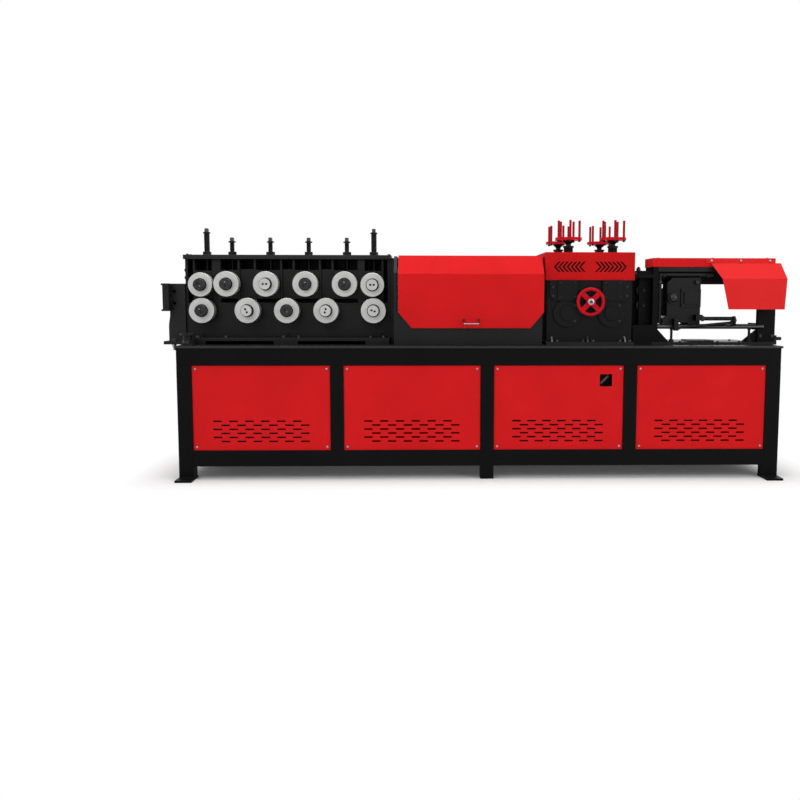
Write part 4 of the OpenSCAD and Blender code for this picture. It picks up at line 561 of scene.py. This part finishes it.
HOLE_DEEP, HOLE_REACH = 7 * MM, 14 * MM
SHADE_SHEET_IN, SHADE_SHEET_LOW, SHADE_SHEET_HIGH, SHADE_SHEET_T = 30 * MM, 20 * MM, 170 * MM, 1.5 * MM


def hub_holes(name):
    """Middles of the two screw holes in a roller's hub, found from the walls of the holes."""
    lo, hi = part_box(name)
    c = (lo + hi) / 2
    axis = Vector((c.x, 0, c.z))
    walls = [q.center - axis for q in nodes[name].data.polygons
             if q.center.y < lo.y + HOLE_DEEP and abs(q.normal.y) < SIDE]
    walls = [v for v in walls if math.hypot(v.x, v.z) < HOLE_REACH]
    way = max(walls, key=lambda v: math.hypot(v.x, v.z))
    for s in (1, -1):
        half = [v for v in walls if s * (v.x * way.x + v.z * way.z) > 0]
        mid = sum(half, Vector()) / len(half)
        yield Vector((c.x + mid.x, lo.y, c.z + mid.z))


def shade_sheet(lo, hi, inward, behind):
    """A thin sheet of painted shade behind the slots in the lower part of a panel, on the side that points
    inward.
    """
    i = 1 if inward.y else 0
    a, b = lo + Vector((SHADE_SHEET_IN, SHADE_SHEET_IN, SHADE_SHEET_LOW)), hi - Vector((SHADE_SHEET_IN, SHADE_SHEET_IN, 0))
    b.z = lo.z + SHADE_SHEET_HIGH
    a[i] = (lo if inward[i] > 0 else hi)[i] + inward[i] * behind * MM
    b[i] = a[i] + inward[i] * SHADE_SHEET_T
    slab("frame", PAINTED_SHADE, a, b)


# A small black block on the plate between the straightener and the drum housing
NOTCH_BLOCK_SIZE = Vector((16.5, 5, 7.2))
notch_block = Vector((top_hi.x + 0.5, ribs_lo.y + 0.5, top_lo.z - 0.2))
slab("frame", BLACK, at(*notch_block), at(*(notch_block + NOTCH_BLOCK_SIZE)))

# Panel screws
PANEL_SCREW_D, PANEL_SCREW_H, PANEL_SCREW_IN = 11, 4, 15 * MM
for name, axis in (("front_panels", -Y), ("rear_panels", Y)):
    for lo, hi in solids(name):
        y = lo.y if axis.y < 0 else hi.y
        for x in (lo.x + PANEL_SCREW_IN, hi.x - PANEL_SCREW_IN):
            for z in (lo.z + PANEL_SCREW_IN, hi.z - PANEL_SCREW_IN):
                dome_screw("frame", ZINC, Vector((x, y, z)), axis, PANEL_SCREW_D, PANEL_SCREW_H)
for lo, hi in solids("end_panels"):
    x, axis = (lo.x, -X) if lo.x < 0 else (hi.x, X)
    for y in (lo.y + PANEL_SCREW_IN, hi.y - PANEL_SCREW_IN):
        for z in (lo.z + PANEL_SCREW_IN, hi.z - PANEL_SCREW_IN):
            dome_screw("frame", ZINC, Vector((x, y, z)), axis, PANEL_SCREW_D, PANEL_SCREW_H)

# Sheets of painted shade behind the vent slots of the panels
FRONT_BEHIND, PLAIN_BEHIND = 12, 2.5
for lo, hi in solids("front_panels"):
    shade_sheet(lo, hi, Y, FRONT_BEHIND)
for lo, hi in solids("rear_panels"):
    shade_sheet(lo, hi, -Y, PLAIN_BEHIND)
for lo, hi in solids("end_panels"):
    shade_sheet(lo, hi, X if lo.x < 0 else -X, PLAIN_BEHIND)

# Rollers: a sunk screw in each hole of the hub over a disc of painted shade, a centre mark, and a ring of
# painted shade round the hub's root
HOLE_R, HOLE_LIFT = 5, 0.15
FACE_IN, FACE_OUT = 35 * MM, 50 * MM
CENTRE_MARK = [(2.8, 0), (2.6, 0.5), (1.2, 0.5), (0, 0.1)]
HUB_RING = [(26.2, 0), (26.2, 0.3), (29.5, 0.3), (29.8, 0)]
for n in rollers:
    lo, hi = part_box(n)
    p = Vector(((lo.x + hi.x) / 2, lo.y, (lo.z + hi.z) / 2))
    dark = n in DARK_HUBS
    for hole, mat in zip(hub_holes(n), (ZINC if dark else OXIDE, OXIDE)):
        lathe(n, PAINTED_SHADE, hole, -Y, [(HOLE_R, 0), (HOLE_R, HOLE_LIFT), (0, HOLE_LIFT)], sides=20)
        cap_screw(n, mat, hole - Y * HOLE_LIFT * MM, -Y, d=6, h=1)
    lathe(n, OXIDE if dark else ZINC, p, -Y, CENTRE_MARK, sides=16)
    face = min(q.center.y for q in nodes[n].data.polygons
               if q.normal.y < -FACING and FACE_IN < off_axis(q.center, p) < FACE_OUT)
    lathe(n, PAINTED_SHADE, Vector((p.x, face, p.z)), -Y, HUB_RING, sides=48)

# Adjusting screws: washer and lock nut on the top plate, thread, and a square tip on a washer
ADJUSTER_IN, TALL_R, SHORT_R, BORE_FIT = 101, 12.5, 10.0, 1.2
SEAT_R, SEAT_T, LOCK_FLATS, LOCK_H = 23, 2.6, 36, 16
THREAD_UP, THREAD_DOWN, TIP_WASHER_DOWN = 24, 25, 17
SQUARE_TIP = [(7.5, 0), (6.4, 1.4), (0, 1.6)]
adjuster_y = top_lo.y + ADJUSTER_IN
for i, n in enumerate(adjusters, 1):
    lo, hi = corners(n)
    r = TALL_R if n in (adjusters[0], adjusters[-1]) else SHORT_R
    bore = r + BORE_FIT
    x = (lo.x + hi.x) / 2
    p = at(x, adjuster_y, top_hi.z)
    seat = [(bore, 0), (SEAT_R, 0), (SEAT_R, 2), (bore, SEAT_T), (bore, 0)]
    lathe("frame", SCREW, p, Z, seat)
    nut_bore = bore / math.cos(math.pi / 6)
    nut("frame", SCREW, p + Z * SEAT_T * MM, Z, LOCK_FLATS, LOCK_H, nut_bore, turn=0.2 + i * 0.35)
    length = hi.z - top_hi.z - THREAD_UP - THREAD_DOWN
    thread(n, SCREW, p + Z * THREAD_UP * MM, Z, r, length)
    washer(n, SCREW, at(x, adjuster_y, hi.z - TIP_WASHER_DOWN), Z, r=12)
    lathe(n, WORN_AND_HIGHLIGHT, at(x, adjuster_y, hi.z), Z, SQUARE_TIP, sides=4, turn=math.pi / 4)

# Screws that hold the top plate, along its rear edge and at its ends
REAR_SCREWS, REAR_IN, REAR_END, SIDE_IN, SIDE_FRONT = 7, 12, 30, 11, 40
for i in range(REAR_SCREWS):
    x = top_lo.x + REAR_END + i * (top_hi.x - top_lo.x - 2 * REAR_END) / (REAR_SCREWS - 1)
    cap_screw("frame", OXIDE, at(x, top_hi.y - REAR_IN, top_hi.z), Z, d=14, h=7)
for x in (top_lo.x + SIDE_IN, top_hi.x - SIDE_IN):
    for y in (top_lo.y + SIDE_FRONT, (top_lo.y + top_hi.y) / 2):
        cap_screw("frame", OXIDE, at(x, y, top_hi.z), Z, d=12, h=6)

# Bed plate: hexagon bolts along its front
BED_BOLTS, BED_BOLT_IN = (-1290, -1160, -900, -830, -500, -440), 16
for x in BED_BOLTS:
    hex_bolt("frame", OXIDE, at(x, bed_lo.y + BED_BOLT_IN, ribs_lo.z), Z, flats=15, h=8, turn=x * 0.01)

# Pad plate: a bolt from below, its stud, and a bolt head on top
PAD_T, PAD_BOLT_X, PAD_BOLT_Y, PAD_BOLT_H = 15, 42, 22, 10
pad_x, pad_y = bed_lo.x + PAD_BOLT_X, bed_lo.y + PAD_BOLT_Y
stud_z = bed_lo.z - WASHER_T - PAD_BOLT_H
hex_bolt("frame", ZINC, at(pad_x, pad_y, bed_lo.z), -Z, flats=19, h=PAD_BOLT_H)
stub("frame", ZINC, at(pad_x, pad_y, stud_z), -Z, r=6, h=16, rise=2)
hex_bolt("frame", OXIDE, at(pad_x, pad_y, bed_lo.z + PAD_T), Z, flats=19, h=PAD_BOLT_H, turn=0.7)

# Clamp jack: a nut at its foot and two bolts in the straightener's end plate beside it
JACK_FOOT_T, END_BOLT_Y, END_BOLT_HEIGHTS = 9, -60, (905, 940)
lo, hi = corners("clamp_jack")
jack_foot = at((lo.x + hi.x) / 2, (lo.y + hi.y) / 2, lo.z + JACK_FOOT_T)
stub("frame", OXIDE, jack_foot, Z, r=24, h=13.5, edge=1.5, rise=1.5, sides=HEX)
for z in END_BOLT_HEIGHTS:
    hex_bolt("frame", OXIDE, at(ribs_lo.x, END_BOLT_Y, z), -X, flats=14, h=8)

# Inlet guide: screws on its face
GUIDE_IN, GUIDE_END = 14, 22
lo, hi = corners("inlet_guide")
for z in (lo.z + GUIDE_END, hi.z - GUIDE_END):
    cap_screw("frame", OXIDE, at(hi.x - GUIDE_IN, lo.y, z), -Y, d=11, h=6)

# Gearbox: bolts of the bearing plates, slide plates, round covers and foot flange
SLIDE_T, COVER_Z, COVER_OUT, COVER_BOLT_X, COVER_BOLT_Z = 6, 744, 102, 34, 36
PLATE_BOLT_OUT, PLATE_BOLT_HEIGHTS = 169, (862, 822)
SLIDE_BOLTS, SLIDE_BOLT_HEIGHTS = (-136, -69, 69, 136), (882, 818)
FLANGE_BOLTS, FLANGE_BOLT_IN = (-148, -30, 16, 140, 184), 16
gear_mid = (gear_lo.x + gear_hi.x) / 2
slide_y = corners("bearing_covers")[0].y
plate_y = slide_y + SLIDE_T
for x in (gear_mid - PLATE_BOLT_OUT, gear_mid + PLATE_BOLT_OUT):
    for z in PLATE_BOLT_HEIGHTS:
        hex_bolt("frame", OXIDE, at(x, plate_y, z), -Y, flats=9, h=5, turn=x)
for x in SLIDE_BOLTS:
    for z in SLIDE_BOLT_HEIGHTS:
        cap_screw("frame", OXIDE, at(gear_mid + x, slide_y, z), -Y, d=10, h=6)
for x in (gear_mid - COVER_OUT, gear_mid + COVER_OUT):
    for s in (-1, 1):
        place = at(x + COVER_BOLT_X, plate_y, COVER_Z + s * COVER_BOLT_Z)
        hex_bolt("frame", OXIDE, place, -Y, flats=9, h=5, turn=x + 1 + s)
for x in [gear_mid + off for off in FLANGE_BOLTS]:
    for y in (gear_lo.y + FLANGE_BOLT_IN, gear_hi.y - FLANGE_BOLT_IN):
        hex_bolt("frame", OXIDE, at(x, y, flange_top), Z, flats=14, h=8, turn=x * 0.1)

# Handwheel: bright hub disc with a bolt
HUB_DISC = [(14, 0), (14, 1.5), (12.8, 2.4), (0, 2.4)]
lo, hi = corners("handwheel")
p = at((lo.x + hi.x) / 2, lo.y, (lo.z + hi.z) / 2)
lathe("handwheel", ZINC, p, -Y, HUB_DISC, sides=32)
hex_bolt("handwheel", WORN_AND_HIGHLIGHT, p - Y * HUB_DISC[-1][1] * MM, -Y, flats=12, h=6, seat=False)

# Pressing screws: round nuts over the bosses, with holes for a spanner in painted shade
RING_BORE, RING_R, RING_H = 13.2, 25, 7.5
SPANNER_R, SPANNER_Z, SPANNER_HOLES = 24, 3.6, 6
RING_NUT = [(RING_BORE, 0), (RING_R, 0), (RING_R, 6), (23.5, RING_H), (RING_BORE, RING_H), (RING_BORE, 0)]
boss_top = corners("press_bosses")[1].z
for n in press_screws:
    lo, hi = corners(n)
    p = at((lo.x + hi.x) / 2, (lo.y + hi.y) / 2, boss_top)
    lathe("frame", SCREW, p, Z, RING_NUT, sides=32)
    for k in range(SPANNER_HOLES):
        a = 2 * math.pi * k / SPANNER_HOLES + 0.4
        out = Vector((math.cos(a), math.sin(a), 0))
        hole = p + (out * SPANNER_R + Z * SPANNER_Z) * MM
        lathe("frame", PAINTED_SHADE, hole, out, [(1.9, 0), (1.9, 1.15), (0, 1.15)], sides=10)

# Measuring unit: bolts on the clamp plates, wheel pins and screws of the cheek plate
CHEEK_Y, CHEEK_SCREW_IN, CHEEK_SCREW_HEIGHTS = -155, 12, (706, 890)
CLAMP_BOLT_IN, CLAMP_BOLT_Y, CLAMP_BOLT_H = 56, -148, 11
STEP_BOLT_IN, STEP_BOLT_Y, CLAMP_T = 9, -190, 16
top = at(meas_hi.x - CLAMP_BOLT_IN, CLAMP_BOLT_Y, meas_hi.z)
hex_bolt("frame", OXIDE, top, Z, flats=19, h=CLAMP_BOLT_H)
stub("frame", OXIDE, top + Z * (WASHER_T + CLAMP_BOLT_H) * MM, Z, r=6, h=6.5, rise=1.5)
step = at(meas_lo.x + STEP_BOLT_IN, STEP_BOLT_Y, meas_hi.z - CLAMP_T)
hex_bolt("frame", OXIDE, step, Z, flats=11, h=6)
for z in WHEEL_HEIGHTS:
    hex_bolt("frame", SCREW, at(wheel_x, CHEEK_Y, z), -Y, flats=15, h=8)
for z in CHEEK_SCREW_HEIGHTS:
    cap_screw("frame", SCREW, at(meas_hi.x - CHEEK_SCREW_IN, CHEEK_Y, z), -Y, d=11, h=6)

# Cutter cover: screws through the guard's strip and the top
STRIP_T, STRIP_Z, STRIP_SCREWS, COVER_IN = 3, 982.5, (1058, 1193, 1327), 30
lo, hi = corners("cutter_cover")
for x in STRIP_SCREWS:
    dome_screw("frame", ZINC, at(x, lo.y - STRIP_T, STRIP_Z), -Y, d=12, h=4.5)
for x in (lo.x + COVER_IN, (lo.x + hi.x) / 2, hi.x - COVER_IN):
    for y in (lo.y + COVER_IN, hi.y - COVER_IN):
        dome_screw("frame", ZINC, at(x, y, hi.z), Z, d=14, h=5)

# Cutter head: screws of its lid, domed boss with three screws, and a knob
LID_W, LID_IN, LID_Y, LID_HALF = 92, 7, -199, 34.5
BOSS_IN, BOSS_Y, BOSS_SCREW_R = 47, -203, 22.5
BOSS_DOME = [(19, 0), (19, 5), (17.5, 9), (14, 12), (8, 14), (0, 14.5)]
KNOB = [(9, 0), (9, 3), (7.5, 5), (0, 5.4)]
KNOB_IN, KNOB_Y, KNOB_Z = 20, -202, 886
lo, hi = corners("cutter_head")
for x in (hi.x - LID_W + LID_IN, hi.x - LID_IN):
    for z in (PASS_Z - LID_HALF, PASS_Z + LID_HALF):
        cap_screw("cutter_head", OXIDE, at(x, LID_Y, z), -Y, d=10, h=6)
boss = at(lo.x + BOSS_IN, BOSS_Y, PASS_Z)
lathe("cutter_head", DECK, boss, -Y, BOSS_DOME, sides=32)
for k in range(3):
    a = math.radians(90 + k * 120)
    out = Vector((math.cos(a), 0, math.sin(a))) * BOSS_SCREW_R * MM
    cap_screw("cutter_head", OXIDE, boss + out, -Y, d=6, h=3.5)
lathe("cutter_head", OXIDE, at(hi.x - KNOB_IN, KNOB_Y, KNOB_Z), -Y, KNOB)

# Return cylinder: cap bolts, a collar nut, and a nut at each end of the slanted pipe
CAP_BOLT_R, COLLAR_BACK, COLLAR_Z = 15.5, 154, 720
PIPE_LOW, PIPE_RISE, PIPE_END_IN = 678, 24, 10
lo, hi = corners("return_cylinder")
c = (lo + hi) / 2
for k in range(4):
    a = math.radians(45 + 90 * k)
    place = at(hi.x, c.y + math.cos(a) * CAP_BOLT_R, c.z + math.sin(a) * CAP_BOLT_R)
    hex_bolt("cutter_head", OXIDE, place, X, flats=8, h=4.5, seat=False)
stub("cutter_head", OXIDE, at(hi.x - COLLAR_BACK, c.y, COLLAR_Z), X, r=13, h=11, sides=HEX)
pipe_way = Vector((hi.x - PIPE_END_IN - lo.x, 0, PIPE_RISE))
stub("cutter_head", OXIDE, at(lo.x + 1, c.y, PIPE_LOW), pipe_way, r=9.5, h=10, sides=HEX)
pipe_end = at(hi.x - PIPE_END_IN, c.y, PIPE_LOW + PIPE_RISE)
lathe("cutter_head", OXIDE, pipe_end, -pipe_way, [(9.5, 0.6), (9.5, 10), (8.5, 11), (0, 11)], HEX)

# Fittings of the upper pipe, bolts of the right post and screws of the cutter's bed
FITTING_R, FITTING_H, PIPE_FITTINGS, BEND_X, BEND_Z = 12, 12, (842, 1046), 829, 880
POST_BOLTS, POST_Y, POST_BOLT_Z = (1300, 1355), -186, 640
BED_T, BED_IN_FRONT, BED_IN_REAR = 12, 6, 8
FRONT_SCREWS, BACK_SCREWS = (835, 925, 1100, 1200), (835, 1100, 1200, 1330)
for x in PIPE_FITTINGS:
    stub("frame", OXIDE, at(x, PIPE_Y, PIPE_Z), X, FITTING_R, FITTING_H, sides=HEX, turn=0.2)
bend_nut = [(FITTING_R, 0), (FITTING_R, FITTING_H), (0, FITTING_H)]
lathe("frame", OXIDE, at(BEND_X, PIPE_Y, BEND_Z), Z, bend_nut, HEX)
for x in POST_BOLTS:
    hex_bolt("frame", OXIDE, at(x, POST_Y, POST_BOLT_Z), -Y, flats=13, h=7)
bed_rows = ((FRONT_SCREWS, cutter_lo.y + BED_IN_FRONT), (BACK_SCREWS, cutter_hi.y - BED_IN_REAR))
for row, y in bed_rows:
    for x in row:
        cap_screw("frame", OXIDE, at(x, y, cutter_lo.z + BED_T), Z, d=11, h=6)

# End stop: a sleeve round its rod
SLEEVE_BACK, SLEEVE_BORE = 24, 5.2
SLEEVE = [(SLEEVE_BORE, 0), (8, 0), (8, 21), (7, 22.5), (SLEEVE_BORE, 22.5), (SLEEVE_BORE, 0)]
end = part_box("cutter_bed")[1].x
tip = [v.co for v in nodes["cutter_bed"].data.vertices if v.co.x > end - 1 * MM]
tip = sum(tip, Vector()) / len(tip)
lathe("frame", SCREW, tip - X * SLEEVE_BACK * MM, X, SLEEVE)

# Fixed knife block: two screws in its front
KNIFE_X, KNIFE_Y, KNIFE_HALF = 832, -172, 30
for z in (PASS_Z - KNIFE_HALF, PASS_Z + KNIFE_HALF):
    cap_screw("frame", OXIDE, at(KNIFE_X, KNIFE_Y, z), -Y, d=12, h=7)

# Weld beads at the feet, along the front and rear of the base
BEAD_R, BEAD_IN = 3.2, 4 * MM
post_lo, post_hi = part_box("base_posts")
for lo, hi in solids("foot_plates"):
    y = post_lo.y if lo.y < 0 else post_hi.y
    bead("frame", FRAME, Vector((lo.x + BEAD_IN, y, hi.z)), Vector((hi.x - BEAD_IN, y, hi.z)), BEAD_R)

for (body, mat), bm in kits.items():
    bmesh.ops.recalc_face_normals(bm, faces=bm.faces)
    me = bpy.data.meshes.new(f"{body}_{mat.name}_bits")
    bm.to_mesh(me)
    bm.free()
    for p in me.polygons:
        p.use_smooth = True
    me.set_sharp_from_angle(angle=SHARP_ANGLE)
    me.materials.append(mat)
    o = bpy.data.objects.new(me.name, me)
    bpy.context.scene.collection.objects.link(o)
    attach(o, body)

# Camera, fitted to the photo

TILT_DOWN, ROLL, TURN = 5.685, -0.08, -1.457
scene = bpy.context.scene
scene.view_settings.view_transform = "Standard"
cam = bpy.data.objects.new("camera", bpy.data.cameras.new("camera"))
scene.collection.objects.link(cam)
scene.camera = cam
cam.data.sensor_width = 36
cam.data.lens = 39.519
cam.data.shift_x, cam.data.shift_y = -0.06, -0.01875
cam.location = (base_mid - 0.2477, -4.2193, 0.8143)
cam.rotation_euler = [math.radians(a) for a in (90 - TILT_DOWN, ROLL, TURN)]
cam.data.clip_start, cam.data.clip_end = 0.05, 100

# Light

AMBIENT = 0.42


def seen(t):
    """1 for rays that show the background: from the camera, off metal and through glass."""
    lp = t.nodes.new("ShaderNodeLightPath")
    last = lp.outputs["Is Camera Ray"]
    for name in ("Is Glossy Ray", "Is Transmission Ray"):
        last = calc(t, "MAXIMUM", last, lp.outputs[name])
    return last


def light(name, place, aim, size, power):
    """A rectangular lamp that points at a place."""
    d = bpy.data.lights.new(name, "AREA")
    d.shape = "RECTANGLE"
    d.size, d.size_y = size
    d.energy = power
    o = bpy.data.objects.new(name, d)
    o.location = place
    o.rotation_euler = (Vector(aim) - Vector(place)).to_track_quat("-Z", "Y").to_euler()
    scene.collection.objects.link(o)


world = bpy.data.worlds.new("studio")
scene.world = world
world.use_nodes = True
wt = world.node_tree
sky = wt.nodes["Background"]
sky.inputs[0].default_value = (1, 1, 1, 1)
wt.links.new(span(wt, seen(wt), AMBIENT, 1.0, 0.0, 1.0), sky.inputs[1])
light("key", place=(-2.3, -3.7, 3.3), aim=(0, 0, 0.6), size=(3.0, 2.0), power=62)
light("fill", place=(3.2, -3.4, 2.0), aim=(0.5, 0, 0.6), size=(2.4, 2.4), power=44)
light("top", place=(0, -0.2, 3.4), aim=(0, 0, 0.6), size=(4.0, 1.6), power=70)
light("back", place=(0.5, 3.6, 2.6), aim=(0, 0, 0.7), size=(4.0, 1.6), power=26)

# Floor: it keeps the shadow under and round the base and fades to the white backdrop away from it

FLOOR_TONE, FLOOR_HALF, FADE_START, FADE_WIDTH = 0.93, 30, 0.05, 0.24
floor_mat, ft, fb = shader("floor")
fb.inputs["Base Color"].default_value = (FLOOR_TONE, FLOOR_TONE, FLOOR_TONE, 1)
fb.inputs["Roughness"].default_value = 0.85
glow = ft.nodes.new("ShaderNodeEmission")
both = ft.nodes.new("ShaderNodeMixShader")
spot = ft.nodes.new("ShaderNodeSeparateXYZ")
ft.links.new(ft.nodes.new("ShaderNodeNewGeometry").outputs["Position"], spot.inputs[0])
deck_lo, deck_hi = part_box("deck_plate")


def beyond(i):
    """The squared distance of a point of the floor past the deck's edge, along one axis."""
    mid, half = (deck_lo[i] + deck_hi[i]) / 2, (deck_hi[i] - deck_lo[i]) / 2
    off = calc(ft, "ABSOLUTE", calc(ft, "SUBTRACT", spot.outputs[i], mid))
    past = calc(ft, "MAXIMUM", calc(ft, "SUBTRACT", off, half), 0.0)
    return calc(ft, "POWER", past, 2.0)


reach = calc(ft, "SQRT", calc(ft, "ADD", beyond(0), beyond(1)))
fade = span(ft, reach, FADE_START, 1.0, 0.0, FADE_WIDTH)
ft.links.new(calc(ft, "MULTIPLY", seen(ft), fade), both.inputs[0])
ft.links.new(fb.outputs[0], both.inputs[1])
ft.links.new(glow.outputs[0], both.inputs[2])
ft.links.new(both.outputs[0], ft.nodes["Material Output"].inputs[0])
bm = bmesh.new()
bmesh.ops.create_grid(bm, x_segments=1, y_segments=1, size=FLOOR_HALF)
me = bpy.data.meshes.new("floor")
bm.to_mesh(me)
bm.free()
me.materials.append(floor_mat)
floor = bpy.data.objects.new("floor", me)
scene.collection.objects.link(floor)
floor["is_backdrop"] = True

# The box round everything drawn

bpy.context.view_layer.update()
lo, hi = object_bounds()
